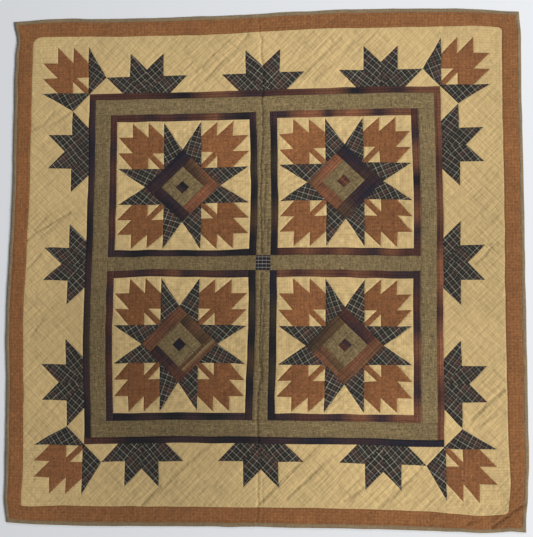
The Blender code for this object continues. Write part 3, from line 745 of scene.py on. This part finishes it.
# Share of the wrinkles and ruffles that each cloth shows, 0.4 where it isn't named
LOOSENESS = {"cream": 1.0, "border": 0.9, "rust": 0.6, "olive": 0.6}


class SeamShade(NamedTuple):
    """How much painted shade a seam lays on a cloth: its line, and a broad band beside it."""

    line: float
    broad: float


SEAM_SHADES = {
    "cream": SeamShade(0.03, 0.02),
    "rust": SeamShade(0.05, 0.03),
    "border": SeamShade(0.07, 0.06),
    "olive": SeamShade(0.14, 0.05),
    "plaid": SeamShade(0.14, 0.05),
    "cornerstone": SeamShade(0.14, 0.05),
    "strip": SeamShade(0.14, 0.05),
}


# Seams that hardly show, in the corner towards +X and +Y: cream to cream, and the border's mitre
LEAF_START = RING_EDGE + LEAF_STANDOFF
LEAF_END = LEAF_START + LEAF_SIDE
SOFT_SEAMS = (
    (LEAF_END, LEAF_START, LEAF_END, LEAF_END),
    (LEAF_START, LEAF_END, LEAF_END, LEAF_END),
    (LEAF_END, LEAF_START, CREAM_EDGE, LEAF_START),
    (LEAF_START, LEAF_END, LEAF_START, CREAM_EDGE),
    (CREAM_EDGE, CREAM_EDGE, RUST_EDGE, RUST_EDGE),
)


def softened(x, y):
    """Share of a seam's dip and shade that is left at drafted points."""
    nearest = np.min([from_segment(abs(x), abs(y), *seam) for seam in SOFT_SEAMS], axis=0)
    return 1 - 0.9 * dip(nearest, 0.005)


class Panel:
    """One piece of the quilt while its patches are laid in."""

    def __init__(self, name, node, slot):
        self.name = name
        self.node = node
        self.slot = slot
        self.points = []
        self.triangles = []
        self.drafted = []
        self.cloth_places = []
        self.shades = []
        self.dyes = []
        self.cloths = []
        self.cloth_names = []
        self.count = 0

    def patch(self, patch):
        flat, triangles, depth = triangulated(patch)
        x, y = flat[:, 0], flat[:, 1]
        stitched = quilting_distance(patch, x, y)
        clear = 1 - dip(depth, 0.006)
        soft = softened(x, y)
        seam = dip(depth, SEAM_REACH) * soft
        stitch = dip(stitched, QUILTING_REACH) * clear
        lift, line = creased(x, y)
        height = PUFF_HEIGHT - SEAM_DIP * seam - QUILTING_DIP * stitch + lift
        wrinkled, in_line = wrinkles(x, y)
        ruffles = ruffled(x, y)
        loose = LOOSENESS.get(patch.cloth, 0.4) * (1 - 0.7 * seam)
        height += (WRINKLE_HEIGHT * wrinkled - ruffles) * loose
        height += SEAM_PUCKER_HEIGHT * noise(x, y, 0.0045, 13) * dip(depth, 0.006) * (1 - seam)
        height += PUCKER_HEIGHT * noise(x, y, 0.008, 3) + SWELL_HEIGHT * noise(x, y, 0.030, 4)
        rumpled = loose * in_block(x, y) * noise(x * RUMPLE_STRETCH, y, RUMPLE_SCALE, 16)
        height += RUMPLE_HEIGHT * rumpled
        laid_x, laid_y = lay(x, y)
        self.points.append(np.column_stack((laid_x, laid_y, height)))
        self.triangles.append(triangles + self.count)
        self.count += len(flat)
        self.drafted.append(flat)
        angle = math.radians(patch.angle)
        turned_x = x * math.cos(angle) + y * math.sin(angle)
        turned_y = -x * math.sin(angle) + y * math.cos(angle)
        offset = (0, 0) if patch.cloth == "cream" else random.uniform(0, 1, 2)
        self.cloth_places.append(np.column_stack((turned_x + offset[0], turned_y + offset[1])))
        # Painted shade along the seams: a thin line in each ditch and a broad band beside it, less at the soft seams
        seam_shade = SEAM_SHADES[patch.cloth]
        shadow = soft * (seam_shade.line * dip(depth, 0.0012) + seam_shade.broad * dip(depth, 0.008))
        # Painted shade along the quilting lines
        shadow += 0.05 * dip(stitched, 0.0012) * clear
        # Painted shade in the wrinkles' and ruffles' lines
        shadow += (WRINKLE_SHADE * in_line + RUFFLE_SHADE * ruffles) * loose
        # Painted shade in the hollows of the rumples
        shadow += RUMPLE_SHADE * np.clip(-rumpled, 0, 1)
        # Painted shade along the creases' lines and in their troughs
        shade = (1 - shadow) * (1 - line) * (1 - 0.10 * np.clip(-lift / 0.001, 0, 1))
        # Times the broad painted light and shade, the cloth's own tone, and a small random unevenness
        self.shades.append(shade * painted_lighting(x, y) * patch.tone * (1 + 0.02 * random.uniform(-1, 1)))
        self.dyes.append(dyed(patch, x, y))
        if patch.cloth not in self.cloth_names:
            self.cloth_names.append(patch.cloth)
        self.cloths.append(np.full(len(triangles), self.cloth_names.index(patch.cloth)))

    def made(self):
        """The panel as an object that rides on the quilt."""
        points = np.concatenate(self.points)
        triangles = np.concatenate(self.triangles)
        mesh = bpy.data.meshes.new(self.name)
        mesh.from_pydata(points.tolist(), [], triangles.tolist())
        mesh.shade_smooth()
        mesh.polygons.foreach_set("material_index", np.concatenate(self.cloths).astype(np.int32))
        corners = triangles.ravel()
        drafted = np.concatenate(self.drafted)
        low, high = drafted.min(axis=0), drafted.max(axis=0)
        set_uv(mesh, "Cloth", np.concatenate(self.cloth_places)[corners])
        set_uv(mesh, "OFBake", (0.004 + 0.992 * (drafted - low) / (high - low))[corners])
        # Shade: painted light and shade, times the cloth's own tone
        shade = mesh.attributes.new("Shade", "FLOAT", "POINT")
        shade.data.foreach_set("value", np.concatenate(self.shades).astype(np.float32))
        dye = mesh.attributes.new("Dye", "FLOAT_COLOR", "POINT")
        colours = np.column_stack((np.concatenate(self.dyes), np.ones(len(points))))
        dye.data.foreach_set("color", colours.ravel().astype(np.float32))
        for name in self.cloth_names:
            mesh.materials.append(CLOTHS[name])
        return placed_piece(mesh, self.node)


def set_uv(mesh, name, places):
    layer = mesh.uv_layers.new(name=name)
    layer.data.foreach_set("uv", places.ravel().astype(np.float32))


def placed_piece(mesh, node):
    piece = bpy.data.objects.new(mesh.name, mesh)
    bpy.context.scene.collection.objects.link(piece)
    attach(piece, "root")
    if node:
        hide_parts(node)
    return piece


class Shader:
    """A material whose nodes are added by short calls."""

    def __init__(self, name):
        self.material = bpy.data.materials.new(name)
        self.material.use_nodes = True
        self.tree = self.material.node_tree
        self.surface = self.tree.nodes["Principled BSDF"]

    def join(self, socket, value):
        if isinstance(value, bpy.types.NodeSocket):
            self.tree.links.new(value, socket)
        else:
            socket.default_value = value

    def add(self, kind, inputs=(), **settings):
        made = self.tree.nodes.new("ShaderNode" + kind)
        for key, value in settings.items():
            setattr(made, key, value)
        for key, value in dict(inputs).items():
            self.join(made.inputs[key], value)
        return made

    def math(self, operation, first, second=0.0, third=0.0):
        return self.add("Math", {0: first, 1: second, 2: third}, operation=operation).outputs[0]

    def noise(self, x, y, z, detail=2.0):
        vector = self.add("CombineXYZ", {0: x, 1: y, 2: z}).outputs[0]
        made = self.add("TexNoise", {"Vector": vector, "Scale": 1.0, "Detail": detail})
        return made.outputs["Fac"]

    def blend(self, share, first, second, kind="MIX"):
        made = self.add("Mix", data_type="RGBA", blend_type=kind)
        self.join(made.inputs[0], share)
        self.join(made.inputs[6], first)
        self.join(made.inputs[7], second)
        return made.outputs[2]

    def stripes(self, place, sett):
        """Colour of the threads at a place across the cloth."""
        share = self.math("FRACT", self.math("DIVIDE", place, sett[-1][0]))
        ramp = self.add("ValToRGB", {"Fac": share})
        ramp.color_ramp.interpolation = "CONSTANT"
        elements = ramp.color_ramp.elements
        elements.remove(elements[1])
        start = 0.0
        for index, (end, colour) in enumerate(sett):
            element = elements[0] if index == 0 else elements.new(start / sett[-1][0])
            element.color = (*colour, 1.0)
            start = end
        return ramp.outputs["Color"]


class Cloth(NamedTuple):
    """Stripes as (end of the stripe, dye or brightness), how uneven the threads are, and the weave.

    Crossing is how much lighter two light threads show where they cross.
    """

    warp: tuple
    weft: tuple
    slub: float
    streak: float
    fleck: float
    mottle: float = 0.24
    crossing: float = 0.0
    thread: float = 0.0007
    dyed: bool = False


WINDOWPANE = ((0.0012, "dark rust"), (0.0048, "rust"), (0.0058, "bright rust"), (0.0098, "rust"))
BORDER_PLAID = (
    (0.0011, "dark amber"), (0.0038, "amber"), (0.0049, "bright amber"), (0.0076, "amber"),
    (0.0086, "dark amber"), (0.0118, "amber"), (0.0130, "bright amber"), (0.0155, "amber"),
)
PLAID = (
    (0.0056, "coal"), (0.0065, "slate"), (0.0112, "pine"), (0.0133, "sage"), (0.0188, "wine"),
    (0.0197, "slate"), (0.0250, "coal"), (0.0270, "sage"), (0.0330, "pine"), (0.0339, "slate"),
    (0.0394, "coal"), (0.0418, "sage"), (0.0455, "wine"), (0.0463, "slate"), (0.0495, "pine"),
    (0.0510, "stone"), (0.0574, "maroon"), (0.0590, "stone"), (0.0655, "wine"), (0.0671, "stone"),
    (0.0703, "coal"), (0.0711, "slate"), (0.0736, "pine"), (0.0757, "sage"),
)
PLAID_WEFT = (
    (0.0054, "pine"), (0.0063, "slate"), (0.0112, "coal"), (0.0132, "stone"), (0.0182, "wine"),
    (0.0191, "slate"), (0.0242, "maroon"), (0.0262, "stone"), (0.0316, "coal"), (0.0325, "slate"),
    (0.0372, "wine"), (0.0391, "sage"), (0.0444, "pine"), (0.0452, "slate"), (0.0500, "wine"),
    (0.0518, "stone"),
)
STRIP_LINES = (
    (0.0011, 1.50), (0.0030, 0.85), (0.0038, 1.20), (0.0058, 0.75), (0.0066, 1.35), (0.0092, 0.90),
)
STRIP_BANDS = ((0.0036, 0.60), (0.0050, 1.60), (0.0088, 1.20), (0.0100, 0.70), (0.0138, 1.30))
WEAVES = {
    "cream": Cloth(
        ((0.0026, "cream"), (0.0034, "wheat"), (0.0060, "cream"), (0.0067, "wheat")),
        ((0.0029, "cream"), (0.0037, "wheat"), (0.0064, "cream")), slub=0.28, streak=0.24, fleck=0.30,
    ),
    "rust": Cloth(WINDOWPANE, WINDOWPANE, slub=0.40, streak=0.34, fleck=2.20, mottle=0.50),
    "border": Cloth(BORDER_PLAID, BORDER_PLAID, slub=0.36, streak=0.28, fleck=1.90, mottle=0.50),
    "olive": Cloth(
        ((0.0012, "olive"), (0.0019, "dark olive"), (0.0031, "olive")),
        ((0.0013, "khaki"), (0.0024, "olive"), (0.0030, "dark olive")), slub=0.66, streak=0.36, fleck=3.00,
    ),
    "binding": Cloth(
        ((0.0020, "dun"), (0.0027, "dark dun")), ((0.0024, "dun"), (0.0030, "dark dun")),
        slub=0.40, streak=0.24, fleck=0.90,
    ),
    "plaid": Cloth(PLAID, PLAID_WEFT, slub=0.60, streak=0.40, fleck=0.90, mottle=0.50, crossing=1.6),
    "cornerstone": Cloth(
        ((0.0048, "night"), (0.0054, "bone"), (0.0100, "black")),
        ((0.0031, "night"), (0.0044, "bone"), (0.0085, "night")), slub=0.26, streak=0.14, fleck=0.35,
    ),
    "strip": Cloth(STRIP_LINES, STRIP_BANDS, slub=0.50, streak=0.34, fleck=1.30, dyed=True),
}


def woven(name, weave):
    """Woven cloth: warp and weft stripes crossing, slubbed threads, and the weave's own relief."""
    shader = Shader(name)
    place = shader.add("UVMap", uv_map="Cloth").outputs[0]
    split = shader.add("SeparateXYZ", {0: place})
    u, v = split.outputs[0], split.outputs[1]
    threads = []
    for across, ahead, sett, seed in ((u, v, weave.warp, 1.0), (v, u, weave.weft, 7.0)):
        if weave.dyed:
            coloured = shader.stripes(across, [(end, (value,) * 3) for end, value in sett])
        else:
            coloured = shader.stripes(across, [(end, DYES[dye]) for end, dye in sett])
        fine = shader.noise(shader.math("MULTIPLY", across, 700), shader.math("MULTIPLY", ahead, 35), seed)
        broad = shader.noise(shader.math("MULTIPLY", across, 190), shader.math("MULTIPLY", ahead, 14), seed + 3)
        swing = shader.math("MULTIPLY_ADD", fine, 2.4 * weave.slub, 1 - 1.2 * weave.slub)
        swing = shader.math("MULTIPLY", swing, shader.math("MULTIPLY_ADD", broad, 3 * weave.streak, 1 - 1.5 * weave.streak))
        threads.append(shader.blend(1.0, coloured, swing, "MULTIPLY"))
    wave_u = shader.math("SINE", shader.math("MULTIPLY", u, math.pi / weave.thread))
    wave_v = shader.math("SINE", shader.math("MULTIPLY", v, math.pi / weave.thread))
    over = shader.math("MULTIPLY", wave_u, wave_v)
    cloth = shader.blend(shader.math("MULTIPLY_ADD", over, 0.18, 0.5), threads[0], threads[1])
    crossed = shader.blend(1.0, threads[0], threads[1], "MULTIPLY")
    cloth = shader.blend(weave.crossing, cloth, crossed, "ADD")
    if weave.dyed:
        dye = shader.add("Attribute", attribute_name="Dye").outputs["Color"]
        cloth = shader.blend(1.0, cloth, dye, "MULTIPLY")
    # The Shade attribute: painted light and shade, times the cloth's own tone
    shade = shader.add("Attribute", attribute_name="Shade").outputs["Fac"]
    blotch = shader.noise(shader.math("MULTIPLY", u, 9), shader.math("MULTIPLY", v, 9), 11.0, 3.0)
    shade = shader.math("MULTIPLY", shade, shader.math("MULTIPLY_ADD", blotch, weave.mottle, 1 - weave.mottle / 2))
    fleck_u = shader.noise(shader.math("MULTIPLY", u, 400), shader.math("MULTIPLY", v, 110), 17.0, 2.0)
    fleck_v = shader.noise(shader.math("MULTIPLY", u, 110), shader.math("MULTIPLY", v, 400), 23.0, 2.0)
    fleck = shader.math("MULTIPLY_ADD", shader.math("ADD", fleck_u, fleck_v), 0.5, 0.0)
    shade = shader.math("MULTIPLY", shade, shader.math("MULTIPLY_ADD", fleck, weave.fleck, 1 - weave.fleck / 2))
    cloth = shader.blend(1.0, cloth, shade, "MULTIPLY")
    shader.join(shader.surface.inputs["Base Color"], cloth)
    shader.join(shader.surface.inputs["Roughness"], shader.math("MULTIPLY_ADD", blotch, 0.2, 0.8))
    shader.surface.inputs["Specular IOR Level"].default_value = 0.2
    shader.surface.inputs["Sheen Weight"].default_value = 0.08
    shader.surface.inputs["Sheen Roughness"].default_value = 0.5
    relief = shader.math("ABSOLUTE", over)
    bump = shader.add("Bump", {"Height": relief, "Strength": 0.35, "Distance": 0.0002})
    shader.join(shader.surface.inputs["Normal"], bump.outputs[0])
    return shader.material


def leaf_patches(cell, shortfall):
    """Patches of a maple leaf square, its stem at the origin, growing towards +X and +Y."""
    width = STEM_SHARE
    tip = 3 - shortfall / cell
    leaf = [
        (1, 0), (2, 0), (tip, 1), (2, 1), (tip, 2), (2, 2), (2, tip), (1, 2), (1, tip), (0, 2), (0, 1), (1, 1)
    ]
    seams = (((1, 1), (1, 2)), ((2, 0), (2, 2)), ((1, 1), (2, 1)), ((0, 2), (2, 2)))
    scaled = tuple(tuple((x * cell, y * cell) for x, y in seam) for seam in seams)
    units = [("cream", rectangle(2, 2, 3, 3))]
    for i in (0, 1):
        units.append(("cream", [(i, 2), (i + 1, tip), (i + 1, 3), (i, 3)]))
        units.append(("cream", [(2, i), (3, i), (3, i + 1), (tip, i + 1)]))
    units.append(("rust", [(0, 0), (width, 0), (1, 1 - width), (1, 1), (1 - width, 1), (0, width)]))
    units.append(("cream", [(width, 0), (1, 0), (1, 1 - width)]))
    units.append(("cream", [(0, width), (1 - width, 1), (0, 1)]))
    patches = [Patch(cloth, [(x * cell, y * cell) for x, y in unit]) for cloth, unit in units]
    return patches + [Patch("rust", [(x * cell, y * cell) for x, y in leaf], quilting=scaled)]


def on_point(u0, v0, u1, v1):
    """A rectangle whose sides run on the diagonals: u to the north-east, v to the north-west."""
    half = math.sqrt(0.5)
    return [((u - v) * half, (u + v) * half) for u, v in rectangle(u0, v0, u1, v1)]


def cabin_patches(cabin):
    """Log-cabin square on point: centre, olive logs and outer logs."""
    core, olive, edge = CABIN_CENTRE_HALF, cabin.olive_half, CABIN_HALF
    shift_u = (cabin.shift_x + cabin.shift_y) * math.sqrt(0.5)
    shift_v = (cabin.shift_y - cabin.shift_x) * math.sqrt(0.5)
    south_west, north_east = shift_u - olive, shift_u + olive
    south_east, north_west = shift_v - olive, shift_v + olive
    inner = [Patch("strip", on_point(-core, -core, core, core), 45, along=cabin.middle)]
    for corners in (
        (core, -olive, olive, core), (-core, core, olive, olive),
        (-olive, -core, -core, olive), (-olive, -olive, core, -core),
    ):
        inner.append(Patch("olive", on_point(*corners), 45))
    patches = [patch.moved(lambda p: shifted(p, cabin.shift_x, cabin.shift_y)) for patch in inner]

    def reach(side, first, last, low, high):
        start = -edge if getattr(cabin, first) == side else low
        end = edge if getattr(cabin, last) == side else high
        return start, end

    start, end = reach("north_east", "right", "top", south_east, north_west)
    outlines = {"north_east": [(north_east, start), (north_east, end), (edge, end), (edge, start)]}
    start, end = reach("south_west", "bottom", "left", south_east, north_west)
    outlines["south_west"] = [(south_west, start), (south_west, end), (-edge, end), (-edge, start)]
    start, end = reach("north_west", "left", "top", south_west, north_east)
    outlines["north_west"] = [(start, north_west), (end, north_west), (end, edge), (start, edge)]
    start, end = reach("south_east", "bottom", "right", south_west, north_east)
    outlines["south_east"] = [(start, south_east), (end, south_east), (end, -edge), (start, -edge)]
    half = math.sqrt(0.5)
    for side, outline in outlines.items():
        outline = [((u - v) * half, (u + v) * half) for u, v in outline]
        across, along = getattr(cabin, side)
        patches.append(Patch("strip", outline, 45, along=along, across=across))
    return patches


def star_patches(block):
    """Patches of one star block about its centre."""
    half, inner = BLOCK_HALF, STAR_INNER
    tip = half - TIP_SHORTFALL
    patches = cabin_patches(CABINS[block])
    top = [(-inner, half), (-inner, tip), (0, 2 * inner), (inner, tip), (inner, half)]
    for quarter in range(4):
        for leaf in leaf_patches(LEAF_CELL, TIP_SHORTFALL):
            leaf = leaf.moved(lambda p: turned(shifted(p, inner, inner), quarter), 90 * quarter)
            tone = LEAF_TONES[block][quarter] if leaf.cloth == "rust" else 1.0
            patches.append(leaf._replace(tone=tone))
        for spike in ([(inner, tip), (inner, inner), (0, 2 * inner)], [(-inner, tip), (-inner, inner), (0, 2 * inner)]):
            angle = random.choice((45, 45, 45, 25, 65)) + random.uniform(-8, 8)
            patches.append(Patch("plaid", turned(spike, quarter), angle))
        patches.append(Patch("cream", turned(top, quarter), 90 * quarter))
    return patches


def read_from(side, bands):
    """Bands in the order in which a side's strip is drawn: anticlockwise round the quilt."""
    return ", ".join(bands.split(", ")[::-1]) if side in (2, 1) else bands


def make_star_blocks():
    for block, (sign_x, sign_y) in BLOCKS.items():
        x, y = sign_x * BLOCK_CENTRE, sign_y * BLOCK_CENTRE
        panel = Panel(f"quilt_star_block_{block}", f"star_block_{block}", "pieced_star")
        for patch in star_patches(block):
            panel.patch(patch.moved(lambda p: shifted(p, x, y)))
        outer = BLOCK_HALF + FRAME_WIDTH
        for side, side_name in enumerate(SIDES):
            end = BLOCK_HALF if side % 2 == 0 else outer
            strip = turned(rectangle(-end, BLOCK_HALF, end, outer), side)
            bands = read_from(side, BANDS[f"{block} {side_name}"])
            panel.patch(Patch("strip", shifted(strip, x, y), 90 * side, along=bands))
        panel.made()


def make_sashing():
    width = SASH_HALF_WIDTH
    for side, side_name in enumerate(SIDES):
        panel = Panel(f"quilt_sash_arm_{side_name}", f"sash_arm_{side_name}", "olive_homespun")
        arm = turned(rectangle(-width, width, width, FRAME_EDGE), side)
        panel.patch(Patch("olive", arm, 90 * side, tone=ARM_TONES[side_name]))
        panel.made()
    panel = Panel("quilt_cornerstone", "cornerstone", "dark_plaid")
    panel.patch(Patch("cornerstone", rectangle(-width, -width, width, width)))
    panel.made()


def make_ring(name, inner, outer, cloth, slot, tables=None, tones=None):
    """Four strips: the head and foot strips run past the ends of the side strips."""
    for side, side_name in enumerate(SIDES):
        reach = outer if side % 2 == 0 else inner
        strip = turned(rectangle(-reach, inner, reach, outer), side)
        panel = Panel(f"quilt_{name}_{side_name}", f"{name}_{side_name}", slot)
        along = read_from(side, BANDS[f"{tables} {side_name}"]) if tables else ""
        tone = tones[side_name] if tones else 1.0
        panel.patch(Patch(cloth, strip, 90 * side, along=along, tone=tone))
        panel.made()


def half_star_patches():
    """Rhombus patches of a half star that stands on a line at the origin, points towards +Y."""
    step, side = RHOMBUS_STEP, RHOMBUS_SIDE
    right_tip = [(0, 0), (side, 0), (side + step, step), (step, step)]
    right_point = [(0, 0), (step, step), (step, step + side), (0, side)]
    outlines = (right_tip, right_point, mirrored(right_tip), mirrored(right_point))
    return [Patch("plaid", outline, 45 + random.uniform(-7, 7)) for outline in outlines]


def half_star_outline():
    step, side = RHOMBUS_STEP, RHOMBUS_SIDE
    right = [(side, 0), (side + step, step), (step, step), (step, step + side), (0, side)]
    return right + [(-x, y) for x, y in right[:-1]][::-1]


def corner_spike():
    """The dark patch beside the head right leaf, on its left, from the ring's corner outwards."""
    leaf = RING_EDGE + LEAF_STANDOFF
    point = (RING_EDGE - RHOMBUS_STEP, RING_EDGE + RHOMBUS_STEP)
    return [(RING_EDGE, RING_EDGE), (leaf, leaf), (leaf, leaf + LEAF_SIDE), point]


def corner_arc(x, y, radius, start, end):
    angles = np.radians(np.linspace(start, end, CORNER_STEPS))
    return [(x + radius * math.cos(a), y + radius * math.sin(a)) for a in angles]


def cream_field():
    """Outline of the long part of a cream panel, between the corner leaves."""
    ring, leaf, edge = RING_EDGE, LEAF_START, CREAM_EDGE
    return [(-ring, ring), (ring, ring), (leaf, leaf), (leaf, edge), (-leaf, edge), (-leaf, leaf)]


def cream_corner(radius):
    """Outline of the cream round a corner leaf, which is cut on the straight grain."""
    start, end, edge = LEAF_START, LEAF_END, CREAM_EDGE
    outline = [(end, start), (edge, start)] + corner_arc(edge - radius, edge - radius, radius, 0, 90)
    return outline + [(start, edge), (start, end), (end, end)]


def make_cream_border():
    """Head and foot panels run the whole width and hold the leaves; side panels fit between."""
    for side, side_name in enumerate(SIDES):
        patches = []
        holes = []
        for k in (-1, 0, 1):
            star_x = 2 * k * STAR_SPAN
            patches += [p.moved(lambda q: shifted(q, star_x, RING_EDGE)) for p in half_star_patches()]
            holes.append(shifted(half_star_outline(), star_x, RING_EDGE))
        for flip, corner in ((lambda p: p, CORNERS[side]), (mirrored, CORNERS[(side + 1) % 4])):
            spike = flip(corner_spike())
            patches.append(Patch("plaid", spike, random.uniform(20, 70)))
            holes.append(spike)
            if side % 2 == 0:
                patches.append(Patch("cream", flip(cream_corner(CORNER_RADII[corner])), hatched=True))
                for leaf in leaf_patches(LEAF_CELL, 0.0):
                    patches.append(leaf.moved(lambda p: flip(shifted(p, LEAF_START, LEAF_START))))
        panel = Panel(f"quilt_cream_border_{side_name}", f"cream_border_{side_name}", "cream_homespun")
        field = Patch("cream", cream_field(), 45, holes=tuple(holes), hatched=True)
        for patch in [field] + patches:
            panel.patch(turned_patch(patch, side))
        panel.made()


def turned_patch(patch, side):
    moved = patch.moved(lambda p: turned(p, side), 90 * side if patch.cloth != "plaid" else 0)
    return moved._replace(holes=tuple(turned(hole, side) for hole in patch.holes))


def make_rust_border():
    for side, side_name in enumerate(SIDES):
        right = CORNER_RADII[CORNERS[side]]
        left = CORNER_RADII[CORNERS[(side + 1) % 4]]
        inner = corner_arc(left - CREAM_EDGE, CREAM_EDGE - left, left, 135, 90)
        inner += corner_arc(CREAM_EDGE - right, CREAM_EDGE - right, right, 90, 45)
        outline = inner + [(RUST_EDGE, RUST_EDGE), (-RUST_EDGE, RUST_EDGE)]
        panel = Panel(f"quilt_rust_border_{side_name}", f"rust_border_{side_name}", "rust_plaid")
        panel.patch(Patch("border", turned(outline, side), 90 * side))
        panel.made()


# Section of the binding: (distance from the quilt's middle beyond the seam, height)
BINDING_SECTION = (
    (0.0000, 0.0039), (0.0008, 0.0042), (0.0026, 0.0044), (0.0068, 0.0043), (0.0084, 0.0038),
    (0.0095, 0.0029), (0.0100, 0.0019), (0.0097, 0.0010), (0.0088, 0.0005), (0.0060, 0.0002),
    (-0.0010, 0.0002),
)


def make_binding():
    for side, side_name in enumerate(SIDES):
        count = round(2 * HALF_SIDE / EDGE_STEP)
        share = np.linspace(-1, 1, count + 1)
        points, places, drafted, shades = [], [], [], []
        for row, (out, height) in enumerate(BINDING_SECTION):
            distance = RUST_EDGE + out
            x, y = share * distance, np.full(count + 1, distance)
            for _ in range(side):
                x, y = -y, x
            swell = 1 + 0.10 * noise(x + row, y, 0.012, 5)
            laid_x, laid_y = lay(x, y)
            lifted = height * swell + creased(x, y)[0] * (height > 0.003)
            points.append(np.column_stack((laid_x, laid_y, lifted)))
            places.append(np.column_stack((share * distance, np.full(count + 1, row * 0.0015))))
            drafted.append(np.column_stack(((share + 1) / 2, np.full(count + 1, row / 10))))
            # Broad painted light and shade, and painted seam shade on the row at the rust border (0.92; the other rows
            # 0.98)
            shades.append(painted_lighting(x, y) * (0.92 if row == 0 else 0.98))
        rows = len(BINDING_SECTION)
        grid = np.arange(rows * (count + 1)).reshape(rows, count + 1)
        quads = np.stack((grid[:-1, :-1], grid[:-1, 1:], grid[1:, 1:], grid[1:, :-1]), axis=-1)
        quads = quads.reshape(-1, 4)
        mesh = bpy.data.meshes.new(f"quilt_binding_{side_name}")
        mesh.from_pydata(np.concatenate(points).tolist(), [], quads.tolist())
        mesh.shade_smooth()
        corners = quads.ravel()
        set_uv(mesh, "Cloth", np.concatenate(places)[corners])
        set_uv(mesh, "OFBake", (0.004 + 0.992 * np.concatenate(drafted))[corners])
        shade = mesh.attributes.new("Shade", "FLOAT", "POINT")
        shade.data.foreach_set("value", np.concatenate(shades).astype(np.float32))
        mesh.materials.append(CLOTHS["binding"])
        placed_piece(mesh, f"binding_{side_name}")


def make_backing():
    """The one sheet of the underside, flat on the floor."""
    count = 160
    line = np.linspace(-RUST_EDGE, RUST_EDGE, count + 1)
    x, y = (grid.ravel() for grid in np.meshgrid(line, line))
    laid_x, laid_y = lay(x, y)
    height = 0.0004 + 0.0001 * noise(x, y, 0.02, 6)
    grid = np.arange((count + 1) ** 2).reshape(count + 1, count + 1)
    quads = np.stack((grid[:-1, :-1], grid[1:, :-1], grid[1:, 1:], grid[:-1, 1:]), axis=-1).reshape(-1, 4)
    mesh = bpy.data.meshes.new("quilt_backing")
    mesh.from_pydata(np.column_stack((laid_x, laid_y, height)).tolist(), [], quads.tolist())
    mesh.shade_smooth()
    corners = quads.ravel()
    places = np.column_stack((x, y))
    set_uv(mesh, "Cloth", places[corners])
    set_uv(mesh, "OFBake", (0.5 + 0.496 * places / RUST_EDGE)[corners])
    shade = mesh.attributes.new("Shade", "FLOAT", "POINT")
    shade.data.foreach_set("value", np.ones(len(x), np.float32))
    mesh.materials.append(CLOTHS["cream"])
    return placed_piece(mesh, None)


def make_floor():
    shader = Shader("pale_floor")
    shader.surface.inputs["Base Color"].default_value = (0.76, 0.78, 0.81, 1.0)
    shader.surface.inputs["Roughness"].default_value = 0.9
    mesh = bpy.data.meshes.new("floor")
    mesh.from_pydata([(x, y, 0.0) for x, y in rectangle(-4, -4, 4, 4)], [], [(0, 1, 2, 3)])
    mesh.materials.append(shader.material)
    floor = bpy.data.objects.new("floor", mesh)
    bpy.context.scene.collection.objects.link(floor)


def area_light(name, place, size, power, colour):
    data = bpy.data.lights.new(name, "AREA")
    data.shape = "DISK"
    data.size = size
    data.energy = power
    data.color = colour
    light = bpy.data.objects.new(name, data)
    light.location = place
    towards = -light.location
    light.rotation_euler = towards.to_track_quat("-Z", "Y").to_euler()
    bpy.context.scene.collection.objects.link(light)


def make_lights():
    world = bpy.data.worlds.new("pale studio")
    world.use_nodes = True
    background = world.node_tree.nodes["Background"]
    background.inputs["Color"].default_value = (0.93, 0.96, 1.0, 1.0)
    background.inputs["Strength"].default_value = 0.25
    bpy.context.scene.world = world
    area_light("window", (6.4, -1.9, 4.3), 3.2, 700.0, (1.0, 0.98, 0.95))
    area_light("far window", (1.6, 3.8, 2.6), 1.4, 62.0, (0.97, 0.98, 1.0))


def make_camera():
    """Almost straight above, a little to the right of and below the middle."""
    data = bpy.data.cameras.new("camera")
    data.sensor_fit = "HORIZONTAL"
    data.sensor_width = 36.0
    data.lens = 48.63
    camera = bpy.data.objects.new("camera", data)
    camera.location = (0.10824, -0.14286, 1.7675)
    camera.rotation_euler = [math.radians(angle) for angle in (4.228, 3.146, 0.09)]
    bpy.context.scene.collection.objects.link(camera)
    bpy.context.scene.camera = camera


random = np.random.default_rng(7)
BY_CREASES = crease_points()
CLOTHS = {name: woven(f"{name}_cloth", weave) for name, weave in WEAVES.items()}
make_star_blocks()
make_sashing()
make_ring("olive_sash", FRAME_EDGE, OLIVE_EDGE, "olive", "olive_homespun", tones=OLIVE_TONES)
make_ring("dark_ring", OLIVE_EDGE, RING_EDGE, "strip", "dark_plaid", tables="ring")
make_cream_border()
make_rust_border()
make_binding()
backing = make_backing()
make_floor()
make_lights()
make_camera()
bpy.context.scene.view_settings.view_transform = "Standard"
